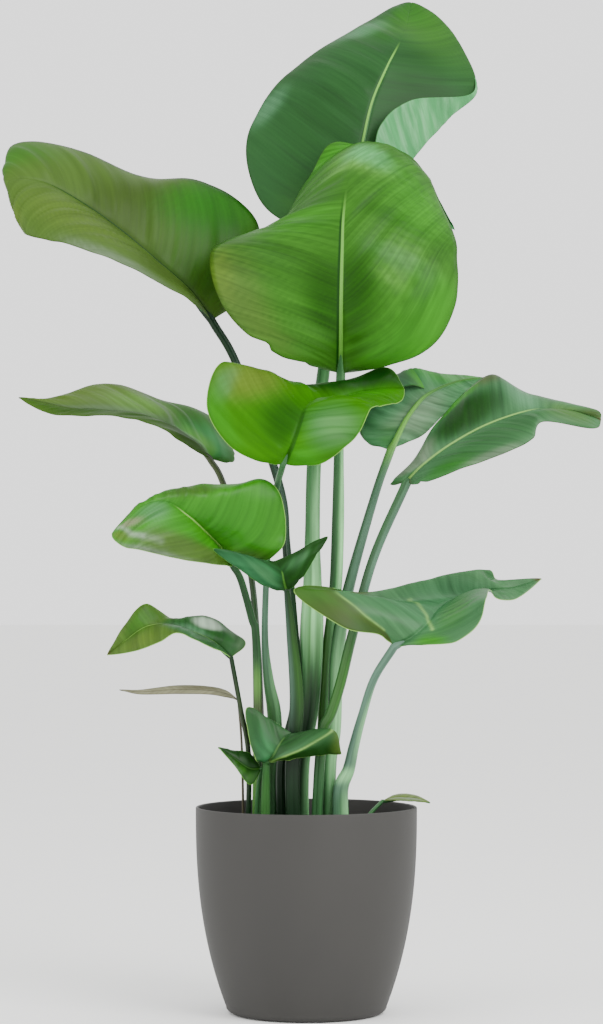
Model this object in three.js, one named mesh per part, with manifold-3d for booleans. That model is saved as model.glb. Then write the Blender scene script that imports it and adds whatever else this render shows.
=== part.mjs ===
// Potted bird of paradise: a matt pot, soil, fourteen stalked leaves and one dried leaf.
// Millimetres, +Z up, the pot's foot on z = 0 round the origin, the seen side towards -Y.
import * as THREE from "three";
import Module from "manifold-3d";

const wasm = await Module();
wasm.setup();

// ---- driving sizes ----
const POT_HEIGHT = 232.5;
const POT_RIM_RADIUS = 125.5;
const POT_TAPER = 37.5;
const POT_TAPER_POWER = 2.5;
const POT_WALL = 3.2;
const POT_FLOOR = 4;
const POT_FOOT_ROUND = 8;
const POT_SIDES = 48;
const SOIL_DEPTH_BELOW_RIM = 38;
const SOIL_MOUND = 6;
const SOIL_SIDES = 28;
const GAP = 0.4;
const ROOTED_DEPTH = 40;
const BLADE_THICKNESS = 1.0;
const BLADE_END = 0.03;
const THICK_STALK_SIDES = 8;
const THIN_STALK_SIDES = 6;
const THIN_STALK_RADIUS = 4.5;
const RIB_STEPS = 7;
const RIB_TIP_RADIUS = 0.8;

const SOIL_TOP = POT_HEIGHT - SOIL_DEPTH_BELOW_RIM;
const STALK_FOOT = SOIL_TOP - ROOTED_DEPTH;

const group = new THREE.Group();
group.name = "potted_bird_of_paradise";

function finish(color, roughness) {
  return new THREE.MeshStandardMaterial({ color, roughness });
}

const POT_FINISH = finish(0x676665, 0.7);
const SOIL_FINISH = finish(0x3a2c22, 1.0);
const LEAF_FINISH = finish(0x4f9a30, 0.45);
const DRY_FINISH = finish(0xb3a184, 0.8);

function add(name, geometry, material) {
  const mesh = new THREE.Mesh(geometry, material);
  mesh.name = name;
  group.add(mesh);
}

// ---- solids ----
function solidFrom(vertices, triangles) {
  const vertProperties = new Float32Array(vertices.flat());
  const triVerts = new Uint32Array(triangles.flat());
  return new wasm.Manifold(new wasm.Mesh({ numProp: 3, vertProperties, triVerts }));
}

function solidFromGeometry(geometry) {
  const merged = geometry.clone();
  merged.deleteAttribute("normal");
  merged.deleteAttribute("uv");
  const position = merged.getAttribute("position");
  const keys = new Map();
  const vertices = [];
  const remap = [];
  for (let i = 0; i < position.count; i++) {
    const p = [position.getX(i), position.getY(i), position.getZ(i)];
    const key = p.map((v) => Math.round(v * 1e4)).join(",");
    if (!keys.has(key)) {
      keys.set(key, vertices.length);
      vertices.push(p);
    }
    remap.push(keys.get(key));
  }
  const triangles = [];
  const index = merged.index.array;
  for (let i = 0; i < index.length; i += 3) {
    const t = [remap[index[i]], remap[index[i + 1]], remap[index[i + 2]]];
    if (t[0] !== t[1] && t[1] !== t[2] && t[2] !== t[0]) triangles.push(t);
  }
  return solidFrom(vertices, triangles);
}

function geometryFrom(solid) {
  const mesh = solid.getMesh();
  const geometry = new THREE.BufferGeometry();
  const position = new Float32Array(mesh.numVert * 3);
  for (let i = 0; i < mesh.numVert; i++) {
    for (let k = 0; k < 3; k++) position[3 * i + k] = mesh.vertProperties[i * mesh.numProp + k];
  }
  geometry.setAttribute("position", new THREE.BufferAttribute(position, 3));
  geometry.setIndex(new THREE.BufferAttribute(new Uint32Array(mesh.triVerts), 1));
  geometry.computeVertexNormals();
  return geometry;
}

// A solid of revolution round Z from [radius, height] pairs that start and end on the axis.
function turned(profile, sides) {
  const lathe = new THREE.LatheGeometry(profile.map(([r, z]) => new THREE.Vector2(r, z)), sides);
  lathe.rotateX(Math.PI / 2);
  const solid = solidFromGeometry(lathe);
  return solid;
}

// ---- pot and soil ----
function potRadius(z) {
  return POT_RIM_RADIUS - POT_TAPER * (1 - z / POT_HEIGHT) ** POT_TAPER_POWER;
}

function potProfile() {
  const outside = [];
  const foot = potRadius(0) - POT_FOOT_ROUND;
  outside.push([0, 0], [foot, 0]);
  outside.push([potRadius(2) - 3.4, 1.2], [potRadius(POT_FOOT_ROUND) - 0.8, POT_FOOT_ROUND * 0.75]);
  for (const z of [14, 32, 60, 95, 140, 190]) outside.push([potRadius(z), z]);
  outside.push([POT_RIM_RADIUS, POT_HEIGHT - 1.2], [POT_RIM_RADIUS - 1.2, POT_HEIGHT]);
  const inside = [];
  inside.push([POT_RIM_RADIUS - POT_WALL + 1, POT_HEIGHT]);
  inside.push([POT_RIM_RADIUS - POT_WALL, POT_HEIGHT - 1]);
  for (const z of [190, 140, 95, 60, 32, 14]) inside.push([potRadius(z) - POT_WALL, z]);
  inside.push([foot - POT_WALL, POT_FLOOR], [0, POT_FLOOR]);
  return [...outside, ...inside];
}

function soilSolid() {
  const edge = POT_WALL + GAP;
  const profile = [[0, POT_FLOOR + GAP]];
  profile.push([potRadius(0) - POT_FOOT_ROUND - edge, POT_FLOOR + GAP]);
  for (const z of [15, 40, 90]) profile.push([potRadius(z) - edge - 1.2, z]);
  profile.push([potRadius(SOIL_TOP - 8) - edge - 0.3, SOIL_TOP - 8]);
  profile.push([80, SOIL_TOP - 4], [45, SOIL_TOP], [0, SOIL_TOP + SOIL_MOUND]);
  return turned(profile, SOIL_SIDES);
}

// ---- leaves ----
const V = (p) => new THREE.Vector3(...p);

// Point of a line of hand-set points at share u of its length in points.
function along(points, u) {
  return new THREE.CatmullRomCurve3(points.map(V), false, "catmullrom", 0.5).getPoint(u);
}

// Every line of a blade runs from the stalk's top to the tip; equal ranks belong together.
function bladeLines(leaf) {
  const base = leaf.rib[0];
  const tip = leaf.rib[leaf.rib.length - 1];
  const closed = (line) => [base, ...line, tip];
  const left = leaf.left.map(closed);
  const right = leaf.right.map(closed);
  return { left, rib: leaf.rib, right };
}

// One half of a cross section: from the rib out through the half's lines, with a swell.
function halfSection(ribPoint, outer, swell, normal, v) {
  if (outer.length === 1) {
    const p = ribPoint.clone().lerp(outer[0], v);
    return p.addScaledVector(normal, swell * 4 * v * (1 - v));
  }
  return new THREE.CatmullRomCurve3([ribPoint, ...outer], false, "catmullrom", 0.5).getPoint(v);
}

function bladeGrid(leaf, rows, columns) {
  const lines = bladeLines(leaf);
  const grid = [];
  for (let i = 0; i <= rows; i++) {
    const u = BLADE_END + (1 - 1.6 * BLADE_END) * (i / rows);
    const rib = along(lines.rib, u);
    const left = lines.left.map((line) => along(line, u));
    const right = lines.right.map((line) => along(line, u));
    const ahead = along(lines.rib, Math.min(1, u + 0.02)).sub(along(lines.rib, Math.max(0, u - 0.02)));
    const across = right[0].clone().sub(left[0]);
    const normal = across.cross(ahead).normalize();
    const row = [];
    for (let j = -columns; j <= columns; j++) {
      const v = Math.abs(j) / columns;
      const swell = (j < 0 ? leaf.swell[0] : leaf.swell[1]) * Math.sin(Math.PI * u) ** 0.7;
      row.push(halfSection(rib, j < 0 ? left : right, swell, normal, v));
    }
    grid.push(row);
  }
  return grid;
}

function gridNormals(grid) {
  return grid.map((row, i) => row.map((_, j) => {
    const up = grid[Math.min(grid.length - 1, i + 1)][j].clone().sub(grid[Math.max(0, i - 1)][j]);
    const side = row[Math.min(row.length - 1, j + 1)].clone().sub(row[Math.max(0, j - 1)]);
    return side.cross(up).normalize();
  }));
}

// A closed sheet of even thickness, both faces split along the same diagonals.
function bladeSolid(leaf) {
  const grid = bladeGrid(leaf, leaf.rows, leaf.columns);
  const normals = gridNormals(grid);
  const rows = grid.length;
  const wide = grid[0].length;
  const vertices = [];
  for (const face of [1, -1]) {
    for (let i = 0; i < rows; i++) {
      for (let j = 0; j < wide; j++) {
        const p = grid[i][j].clone().addScaledVector(normals[i][j], face * BLADE_THICKNESS / 2);
        vertices.push([p.x, p.y, p.z]);
      }
    }
  }
  const top = (i, j) => i * wide + j;
  const under = (i, j) => rows * wide + i * wide + j;
  const triangles = [];
  for (let i = 0; i + 1 < rows; i++) {
    for (let j = 0; j + 1 < wide; j++) {
      triangles.push([top(i, j), top(i, j + 1), top(i + 1, j + 1)]);
      triangles.push([top(i, j), top(i + 1, j + 1), top(i + 1, j)]);
      triangles.push([under(i, j), under(i + 1, j + 1), under(i, j + 1)]);
      triangles.push([under(i, j), under(i + 1, j), under(i + 1, j + 1)]);
    }
  }
  const wall = (a, b, c, d) => triangles.push([a, b, c], [a, c, d]);
  for (let i = 0; i + 1 < rows; i++) {
    wall(top(i, 0), top(i + 1, 0), under(i + 1, 0), under(i, 0));
    wall(top(i + 1, wide - 1), top(i, wide - 1), under(i, wide - 1), under(i + 1, wide - 1));
  }
  for (let j = 0; j + 1 < wide; j++) {
    wall(top(0, j + 1), top(0, j), under(0, j), under(0, j + 1));
    wall(top(rows - 1, j), top(rows - 1, j + 1), under(rows - 1, j + 1), under(rows - 1, j));
  }
  return solidFrom(vertices, triangles);
}

// A round bar of changing radius through the given centres, closed at both ends.
function barSolid(centres, radii, sides) {
  const vertices = [];
  const triangles = [];
  let side = new THREE.Vector3(1, 0, 0);
  centres.forEach((centre, i) => {
    const before = centres[Math.max(0, i - 1)];
    const after = centres[Math.min(centres.length - 1, i + 1)];
    const ahead = after.clone().sub(before).normalize();
    side = side.clone().addScaledVector(ahead, -side.dot(ahead)).normalize();
    const across = ahead.clone().cross(side);
    for (let k = 0; k < sides; k++) {
      const turn = (2 * Math.PI * k) / sides;
      const p = centre.clone();
      p.addScaledVector(side, radii[i] * Math.cos(turn));
      p.addScaledVector(across, radii[i] * Math.sin(turn));
      vertices.push([p.x, p.y, p.z]);
    }
  });
  const at = (i, k) => i * sides + (k % sides);
  const last = centres.length - 1;
  for (let i = 0; i < last; i++) {
    for (let k = 0; k < sides; k++) {
      triangles.push([at(i, k), at(i, k + 1), at(i + 1, k + 1)]);
      triangles.push([at(i, k), at(i + 1, k + 1), at(i + 1, k)]);
    }
  }
  for (let k = 1; k + 1 < sides; k++) {
    triangles.push([at(0, 0), at(0, k + 1), at(0, k)]);
    triangles.push([at(last, 0), at(last, k), at(last, k + 1)]);
  }
  return solidFrom(vertices, triangles);
}

function stalkSides(leaf) {
  return leaf.stalk[0][3] > THIN_STALK_RADIUS ? THICK_STALK_SIDES : THIN_STALK_SIDES;
}

// Centres and radii of a stalk, from its foot in the soil to the start of its blade.
function stalkRings(leaf, extra, reach) {
  const first = leaf.stalk[0];
  const foot = [first[0], first[1], STALK_FOOT - extra, first[3]];
  const points = [foot, ...leaf.stalk, [...leaf.rib[0], leaf.neck]];
  const centreLine = points.map(([x, y, z]) => [x, y, z]);
  const radiusLine = points.map((p) => [p[3], 0, 0]);
  const steps = 2 * (points.length - 1);
  const centres = [];
  const radii = [];
  for (let i = 0; i <= steps * reach; i++) {
    centres.push(along(centreLine, i / steps));
    radii.push(along(radiusLine, i / steps).x + extra);
  }
  return { centres, radii };
}

// Stalk and midrib in one bar: thick at the foot, thin towards the leaf's tip.
function stalkBar(leaf) {
  const { centres, radii } = stalkRings(leaf, 0, 1);
  const lines = bladeLines(leaf);
  for (let i = 1; i <= RIB_STEPS; i++) {
    const u = 0.96 * (i / RIB_STEPS);
    const before = along(leaf.rib, Math.max(0, u - 0.02));
    const after = along(leaf.rib, u + 0.02);
    const across = along(lines.right[0], u).sub(along(lines.left[0], u));
    const under = after.sub(before).cross(across).normalize();
    const radius = RIB_TIP_RADIUS + (leaf.neck * 0.75 - RIB_TIP_RADIUS) * (1 - u) ** 1.2;
    centres.push(along(leaf.rib, u).addScaledVector(under, radius * 0.75));
    radii.push(radius);
  }
  return barSolid(centres, radii, stalkSides(leaf));
}

// The hole a stalk stands in: its own shape, a little wider and deeper.
function holeBar(leaf) {
  const { centres, radii } = stalkRings(leaf, GAP, 0.999);
  return barSolid(centres, radii, stalkSides(leaf));
}

// Leaves. "stalk" lists [x, y, z, radius] from the soil up; the blade starts at its end.
// Each blade line lists points from there to the tip: "rib" with both ends, "left" and
// "right" (as seen on the upper side with the tip up) without them. A second line in a
// half is the free edge beyond a fold. Swell arches each half between rib and edge.
const LEAVES = {
  leaf_top_back: {
    stalk: [[-8, 9, 195, 11], [-7, 10, 280, 11], [3, 11, 350, 12], [6, 12, 430, 13.5],
      [7, 14, 490, 10.5], [7, 15, 545, 8.6], [10, 28, 640, 8.2], [24, 50, 760, 7]],
    neck: 6,
    rib: [[45, 75, 900], [55, 82, 945], [66, 92, 1000], [78, 104, 1052], [96, 118, 1096],
      [112, 142, 1130], [121, 172, 1156], [127, 200, 1184]],
    left: [[[-6, 82, 900], [-52, 95, 930], [-71, 108, 995], [-52, 120, 1050], [-7, 145, 1104],
      [72, 178, 1156]]],
    right: [[[78, 88, 922], [110, 100, 962], [135, 112, 996], [170, 128, 1036], [203, 145, 1074],
      [176, 188, 1148]],
    [[70, 80, 946], [78, 76, 982], [88, 78, 1022], [123, 92, 1051], [197, 136, 1070],
      [174, 191, 1149]]],
    swell: [8, 8],
    rows: 14,
    columns: 4,
  },
  leaf_front: {
    stalk: [[12, 30, 195, 6.6], [18, 28, 300, 6.6], [24, 24, 400, 6.8], [33, 10, 478, 7.2],
      [36, 2, 557, 7], [37, -1, 640, 5.6]],
    neck: 5.3,
    rib: [[39, -8, 723], [39, -40, 760], [39, -66, 808], [40, -70, 857], [42, -54, 903],
      [50, -20, 956], [67, 28, 993], [116, 62, 966], [172, 60, 894]],
    left: [[[-30, -45, 741], [-90, -45, 790], [-108, -22, 860], [-64, 6, 885], [-37, 16, 887],
      [0, 36, 947], [47, 60, 996]]],
    right: [[[90, -36, 730], [141, -42, 751], [168, -36, 800], [171, -24, 848], [166, -8, 886],
      [142, 22, 948], [152, 50, 932]]],
    swell: [10, 14],
    rows: 17,
    columns: 4,
  },
  leaf_left_high: {
    stalk: [[-25, -2, 195, 7.5], [-26, -4, 280, 8], [-11, -6, 350, 7.5], [-16, 4, 440, 6.5],
      [-23, 18, 530, 5], [-31, 26, 598, 4.9], [-78, 22, 732, 4.8]],
    neck: 4.8,
    rib: [[-108, 20, 786], [-133, 14, 820], [-169, 5, 852], [-211, -8, 887], [-255, -25, 917],
      [-300, -45, 938], [-340, -58, 935], [-314, -62, 883]],
    left: [[[-125, -15, 800], [-158, -45, 819], [-205, -70, 841], [-250, -90, 857],
      [-285, -95, 865], [-310, -85, 872]]],
    right: [[[-67, 50, 823], [-56, 70, 904], [-117, 70, 951], [-192, 50, 957], [-282, 12, 987],
      [-341, -22, 976]]],
    swell: [6, 8],
    rows: 14,
    columns: 3,
  },
  leaf_mid_front: {
    stalk: [[-39, 8, 195, 5.5], [-39, 9, 262, 5.5], [-36, 8, 310, 8], [-37, 6, 342, 8],
      [-43, 2, 376, 6], [-47, 2, 420, 4], [-46, 1, 478, 3.6], [-42, -12, 540, 3.6],
      [-34, -45, 590, 3.6]],
    neck: 3.6,
    rib: [[-26, -90, 617], [-17, -104, 637], [-9, -98, 660], [-2, -80, 680], [10, -55, 692],
      [35, -35, 694], [64, -24, 702], [92, -19, 706], [111, -16, 706]],
    left: [[[-54, -98, 620], [-89, -94, 641], [-111, -84, 684], [-92, -62, 733], [-31, -30, 710],
      [36, -19, 714], [90, -13, 730]]],
    right: [[[13, -98, 616], [44, -94, 637], [59, -82, 653], [72, -64, 680], [84, -48, 684],
      [97, -38, 687], [108, -25, 692]]],
    swell: [6, 6],
    rows: 15,
    columns: 3,
  },
  leaf_left_mid: {
    stalk: [[-50, 24, 195, 5], [-52, 20, 320, 4.6], [-56, 18, 420, 4], [-66, 20, 510, 3.8],
      [-95, 12, 600, 3.8]],
    neck: 3.6,
    rib: [[-110, 5, 627], [-121, 2, 644], [-144, -2, 658], [-177, -6, 673], [-216, -12, 680],
      [-267, -20, 684], [-325, -30, 695]],
    left: [[[-131, -28, 638], [-158, -52, 656], [-194, -60, 669], [-236, -55, 673],
      [-288, -42, 675.5]]],
    right: [[[-85, 38, 624], [-87, 62, 648], [-117, 70, 683], [-178, 55, 701], [-230, 38, 716],
      [-290, -14, 695]]],
    swell: [4, 5],
    rows: 12,
    columns: 3,
  },
  leaf_left_low: {
    stalk: [[-57, -6, 195, 4.4], [-55, -8, 330, 5], [-57, -8, 424, 4.6], [-62, -8, 446, 4.2],
      [-74, -12, 489, 4]],
    neck: 3.8,
    rib: [[-83, -22, 505], [-95, -48, 525], [-113, -74, 544], [-132, -96, 561], [-155, -114, 575],
      [-184, -126, 568], [-213, -130, 540]],
    left: [[[-88, -45, 505], [-109, -80, 507], [-145, -118, 513], [-179, -138, 521],
      [-201, -142, 526]]],
    right: [[[-43, -55, 511], [-22, -62, 543], [-40, -66, 598], [-100, -75, 594.5],
      [-156, -100, 587]]],
    swell: [5, 7],
    rows: 12,
    columns: 3,
  },
  leaf_centre_small: {
    stalk: [[-15, -20, 195, 7.5], [-16, -22, 280, 8], [-11, -24, 352, 8], [-17, -34, 430, 5.6]],
    neck: 3.2,
    rib: [[-22, -48, 476], [-25, -56, 487], [-27, -63, 497], [-31, -68, 505], [-36, -72, 510]],
    left: [[[-46, -64, 482], [-76, -84, 502], [-102, -100, 524]]],
    right: [[[-6, -52, 490], [12, -44, 518], [22, -34, 538]]],
    swell: [3, 3],
    rows: 8,
    columns: 3,
  },
  leaf_right_back: {
    stalk: [[25, 8, 195, 7.4], [27, 6, 279, 7.4], [32, 6, 322, 7.6], [35, 6, 404, 8],
      [48, 8, 479, 6.4], [78, 8, 585, 4.8]],
    neck: 4.8,
    rib: [[96, 5, 637], [105, 3, 656], [116, 0, 676], [132, -3, 695], [152, -1, 707],
      [177, 5, 716], [205, 14, 720]],
    left: [[[115, 12, 646], [134, 14, 655], [155, 14, 676], [172, 12, 693], [188, 12, 707]]],
    right: [[[72, 10, 645], [61, 16, 663], [78, 26, 700], [115, 32, 731], [150, 26, 726]],
    [[70, 8, 646], [64, 10, 668], [90, 8, 702], [120, 4, 710], [152, 6, 706]]],
    swell: [4, 4],
    rows: 12,
    columns: 4,
  },
  leaf_right: {
    stalk: [[11, -10, 195, 6], [15, -16, 279, 6], [20, -20, 322, 5.8], [28, -22, 339, 5.8],
      [39, -22, 374, 5.8], [52, -20, 427, 5.6], [76, -20, 514, 5.2]],
    neck: 5.2,
    rib: [[113, -40, 599], [118, -43, 606], [135, -50, 622], [163, -58, 642], [200, -67, 662],
      [240, -72, 676], [268, -74, 680], [298, -74, 677], [328, -74, 667]],
    left: [[[94, -34, 598], [121, -26, 625], [148, -20, 668], [178, -22, 700], [211, -28, 721],
      [250, -42, 698], [320, -70, 680]]],
    right: [[[124, -58, 596], [146, -82, 602], [180, -100, 615], [222, -106, 630],
      [250, -100, 645], [262, -90, 664], [318, -84, 657]]],
    swell: [5, 5],
    rows: 14,
    columns: 3,
  },
  leaf_right_low: {
    stalk: [[40, -4, 195, 9.2], [39, -5, 250, 8.6], [48, -8, 275, 7], [54, -12, 302, 6],
      [63, -19, 336, 5], [76, -36, 378, 4.5]],
    neck: 4.7,
    rib: [[98, -60, 415], [117, -70, 426], [134, -62, 440], [146, -38, 455], [163, -8, 466],
      [188, 20, 473], [212, 36, 478], [240, 46, 481], [272, 52, 491]],
    left: [[[82, -72, 431], [55, -84, 452], [31, -78, 477], [63, -59, 467], [134, -22, 488],
      [194, 20, 500], [214, 44, 489]], [[81, -74, 428], [40, -92, 437], [-14, -84, 476],
      [23, -66, 482], [77, -49, 470], [200, 30, 501], [222, 56, 489]]],
    right: [[[131, -84, 417], [166, -92, 421], [192, -84, 443], [201, -60, 470], [208, -10, 478],
      [216, 18, 469], [240, 32, 467]]],
    swell: [4, 4],
    rows: 15,
    columns: 4,
  },
  leaf_small_left: {
    stalk: [[-66, -18, 195, 3.2], [-65, -24, 290, 3], [-74, -32, 345, 2.8]],
    neck: 2.7,
    rib: [[-84, -52, 402], [-103, -58, 420], [-127, -64, 432], [-154, -72, 440], [-179, -80, 437],
      [-202, -84, 421], [-221, -86, 406]],
    left: [[[-94, -74, 409], [-118, -88, 420], [-142, -94, 430.5], [-160, -96, 421.5],
      [-187, -95, 411]]],
    right: [[[-68, -40, 418], [-87, -28, 434], [-113, -34, 449], [-147, -52, 444], [-178, -72, 463],
      [-201, -80, 440]]],
    swell: [3, 4],
    rows: 11,
    columns: 3,
  },
  leaf_low_front: {
    stalk: [[-47, -28, 195, 5.4], [-46, -30, 250, 5]],
    neck: 4,
    rib: [[-45, -38, 284], [-38, -50, 292], [-31, -51, 304], [-24, -42, 313], [-16, -37, 317]],
    left: [[[-56, -48, 288], [-64, -48, 312], [-65, -42, 347]]],
    right: [[[-24, -58, 292], [3, -62, 304], [30, -58, 322]], [[-20, -54, 288.5], [13, -49, 293],
      [38, -42, 296]]],
    swell: [2, 2],
    rows: 9,
    columns: 3,
  },
  leaf_low_left: {
    stalk: [[-57, -22, 195, 2.6], [-55, -26, 250, 2.2]],
    neck: 2,
    rib: [[-50, -31, 277], [-64, -38, 278], [-80, -42, 289], [-99, -42, 302]],
    left: [[[-63, -46, 260], [-81, -50, 282]]],
    right: [[[-64, -33, 295], [-82, -34, 298]]],
    swell: [2, 2],
    rows: 6,
    columns: 2,
  },
  leaf_rim_right: {
    stalk: [[62, -24, 195, 3], [70, -18, 222, 2.6]],
    neck: 2.2,
    rib: [[86, -10, 239.5], [103, -12, 242], [122, -14, 242], [140, -16, 238]],
    left: [[[103, 8, 245.5], [124, 4, 244.5]]],
    right: [[[102, -30, 241], [121, -28, 240]]],
    swell: [2, 2],
    rows: 6,
    columns: 2,
  },
  dried_leaf: {
    stalk: [[-71, -8, 195, 1.5], [-73, -12, 300, 1.4]],
    neck: 1.3,
    rib: [[-77, -18, 354], [-90, -25, 361], [-110, -31, 365], [-145, -42, 366.5], [-186, -52, 364],
      [-209, -58, 367]],
    left: [[[-90, -29, 357], [-110, -35, 360.5], [-145, -46, 361.5], [-186, -55, 361.5]]],
    right: [[[-90, -22, 364.5], [-110, -27, 369.5], [-145, -38, 371], [-186, -49, 366.5]]],
    swell: [0, 0],
    rows: 9,
    columns: 1,
  },
};

for (const [name, leaf] of Object.entries(LEAVES)) {
  const solid = bladeSolid(leaf).add(stalkBar(leaf));
  add(name, geometryFrom(solid), name === "dried_leaf" ? DRY_FINISH : LEAF_FINISH);
}

add("pot", geometryFrom(turned(potProfile(), POT_SIDES)), POT_FINISH);
let soil = soilSolid();
for (const leaf of Object.values(LEAVES)) soil = soil.subtract(holeBar(leaf));
add("soil", geometryFrom(soil), SOIL_FINISH);

export default group;
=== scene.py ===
"""Potted bird of paradise: paddle leaves on channelled stalks, potting soil and a moulded pot."""

import math
import random

import bpy
import numpy as np
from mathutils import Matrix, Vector, noise


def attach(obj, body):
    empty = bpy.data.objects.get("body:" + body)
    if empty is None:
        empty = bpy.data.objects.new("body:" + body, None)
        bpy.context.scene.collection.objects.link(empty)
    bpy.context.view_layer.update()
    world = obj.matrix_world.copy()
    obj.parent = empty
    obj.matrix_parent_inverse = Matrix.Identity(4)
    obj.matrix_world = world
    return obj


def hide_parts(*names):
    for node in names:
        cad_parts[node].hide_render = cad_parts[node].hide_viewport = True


bl_info = {
    "name": "Potted bird of paradise",
    "version": (1, 0, 0),
    "blender": (4, 5, 0),
    "location": "View3D > Sidebar > Plant",
    "description": "Builds a potted bird of paradise round its packed solids",
    "category": "Add Mesh",
}

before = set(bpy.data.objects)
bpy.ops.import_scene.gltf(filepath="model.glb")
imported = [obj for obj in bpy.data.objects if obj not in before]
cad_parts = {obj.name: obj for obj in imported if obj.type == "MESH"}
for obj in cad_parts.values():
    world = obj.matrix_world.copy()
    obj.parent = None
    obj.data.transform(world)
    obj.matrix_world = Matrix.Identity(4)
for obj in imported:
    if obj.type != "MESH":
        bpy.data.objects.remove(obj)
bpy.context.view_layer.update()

MM = 0.001
BODY = "root"
SEED = 41

# ---- leaves, in millimetres ----
# "stalk" lists [x, y, z, radius] from the soil up; the blade starts at its end, where the
# radius is "neck". Each blade line lists points from there to the tip: "rib" with both ends,
# "left" and "right" (as seen on the upper side with the tip up) without them. A second line
# in a half is the free edge beyond a fold. "swell" arches each half. "sweep" is how far the
# side veins lean towards the tip, for each half, at even steps from the base.
# A place on a blade is (u, v) in percent: u from 0 at the base to 100 at the tip, v from
# -100 at the left margin to 100 at the right. Reaches and strengths are in percent too.
# "green" is the main colour. "patches" are [colour, u, v, reach in u, reach in v, strength],
# and a seventh number above PATCH_EDGE gives a patch a sharper edge. Many patches are painted
# light and shade: dark greens in hollows and folds that lie in shade, and pale grey-greens as a
# painted sheen where a glossy blade mirrors the bright surroundings.
# "nicks" are tears in a margin: [side, u, reach in u, depth]. "veins" are single veins that
# stand out: [colour, half width, places, strength]; a pale one along a fold's ridge is a painted
# highlight. "stalk_patches" are [colour, height, reach, direction they face in degrees (0 is x,
# 270 the front), reach in degrees, strength]. Many of them are painted light and shade: pale on
# the side towards the key light at the front right, dark on the side away from it.
# "rib_look" is [colour, strength, u where it fades, side with a dark line of painted shade beside
# the rib's channel (-1, 0 for both or 1), that painted shade's strength], with shares from 0 to
# 1.
# USUAL holds what most leaves share: "gloss" is the shine, "streaks" the contrast along the
# veins, "wave" the height of the margin's waves and "pleats" that of each half's pleats, both
# against the settings. "tip_round" is how round the tip is, from 0 to 1, "margin" the colour
# of the thin edge, "under" how pale the underside is and "bloom" how much wax lies on it.
# "columns" are the faces across a half, more where it is folded.
STALK_FOOT = 154.5
USUAL = {
    "nicks": [], "veins": [], "stalk_patches": [], "stalk_green": "stalk_green",
    "margin": "dark_olive", "gloss": 0.2, "streaks": 1, "wave": 1, "pleats": [1, 1],
    "tip_round": 0.3, "under": 0.75, "bloom": 0.2, "columns": 26,
}
LEAVES = {}


def leaf_shape(name, **shape):
    """Adds a leaf; what isn't given is as in USUAL."""
    LEAVES[name] = {**USUAL, **shape}


leaf_shape("leaf_top_back", neck=6, swell=[8, 8], sweep=[[1, 0.9, 0.6], [0.6, 0.6]],
    green="blue_green", rib_look=["rib_green", 1, 0.72, 0, 0.25], tip_round=1, under=0.9,
    pleats=[0.8, 0], gloss=0.12, streaks=0.7, bloom=0.45, columns=60,
    stalk=[[-8, 9, 195, 11], [-7, 10, 280, 11], [3, 11, 350, 12], [6, 12, 430, 13.5],
        [7, 14, 490, 10.5], [7, 15, 545, 8.6], [10, 28, 640, 8.2], [24, 50, 760, 7]],
    rib=[[45, 75, 900], [55, 82, 945], [66, 92, 1000], [78, 104, 1052], [96, 118, 1096],
        [112, 142, 1130], [121, 172, 1157], [127, 200, 1187]],
    left=[[[-6, 82, 900], [-52, 95, 930], [-71, 108, 995], [-52, 120, 1050], [-7, 145, 1104],
        [72, 178, 1158]]],
    right=[[[78, 88, 922], [110, 100, 962], [135, 112, 996], [170, 128, 1036], [203, 145, 1074],
        [176, 188, 1148]], [[70, 80, 946], [78, 76, 982], [88, 78, 1022], [123, 92, 1051],
        [199, 138, 1070], [175, 190, 1148]]],
    patches=[["forest_green", 40, -35, 20, 40, 25], ["leaf_green", 12, -70, 14, 40, 50],
        ["sheen_green", 81, -60, 4.5, 35, 85], ["sheen_green", 55, -92, 6, 12, 65],
        ["forest_green", 60, 30, 18, 30, 35], ["leaf_green", 90, 30, 16, 90, 95],
        ["fresh_green", 95, 10, 10, 60, 50]],
    stalk_patches=[["stalk_pale_and_lit", 620, 140, 300, 60, 55], ["stalk_green", 620, 140, 230, 50, 60],
        ["stalk_dark", 300, 110, 262, 90, 95], ["stalk_pale_and_lit", 250, 80, 350, 40, 80],
        ["stalk_pale_and_lit", 470, 55, 215, 34, 60], ["stalk_pale_and_lit", 460, 60, 285, 28, 90],
        ["stalk_pale_and_lit", 440, 50, 330, 22, 80], ["leaf_green", 430, 70, 310, 12, 50],
        ["leaf_green", 430, 70, 255, 14, 50], ["stalk_pale_and_lit", 430, 60, 230, 20, 30]])

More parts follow.
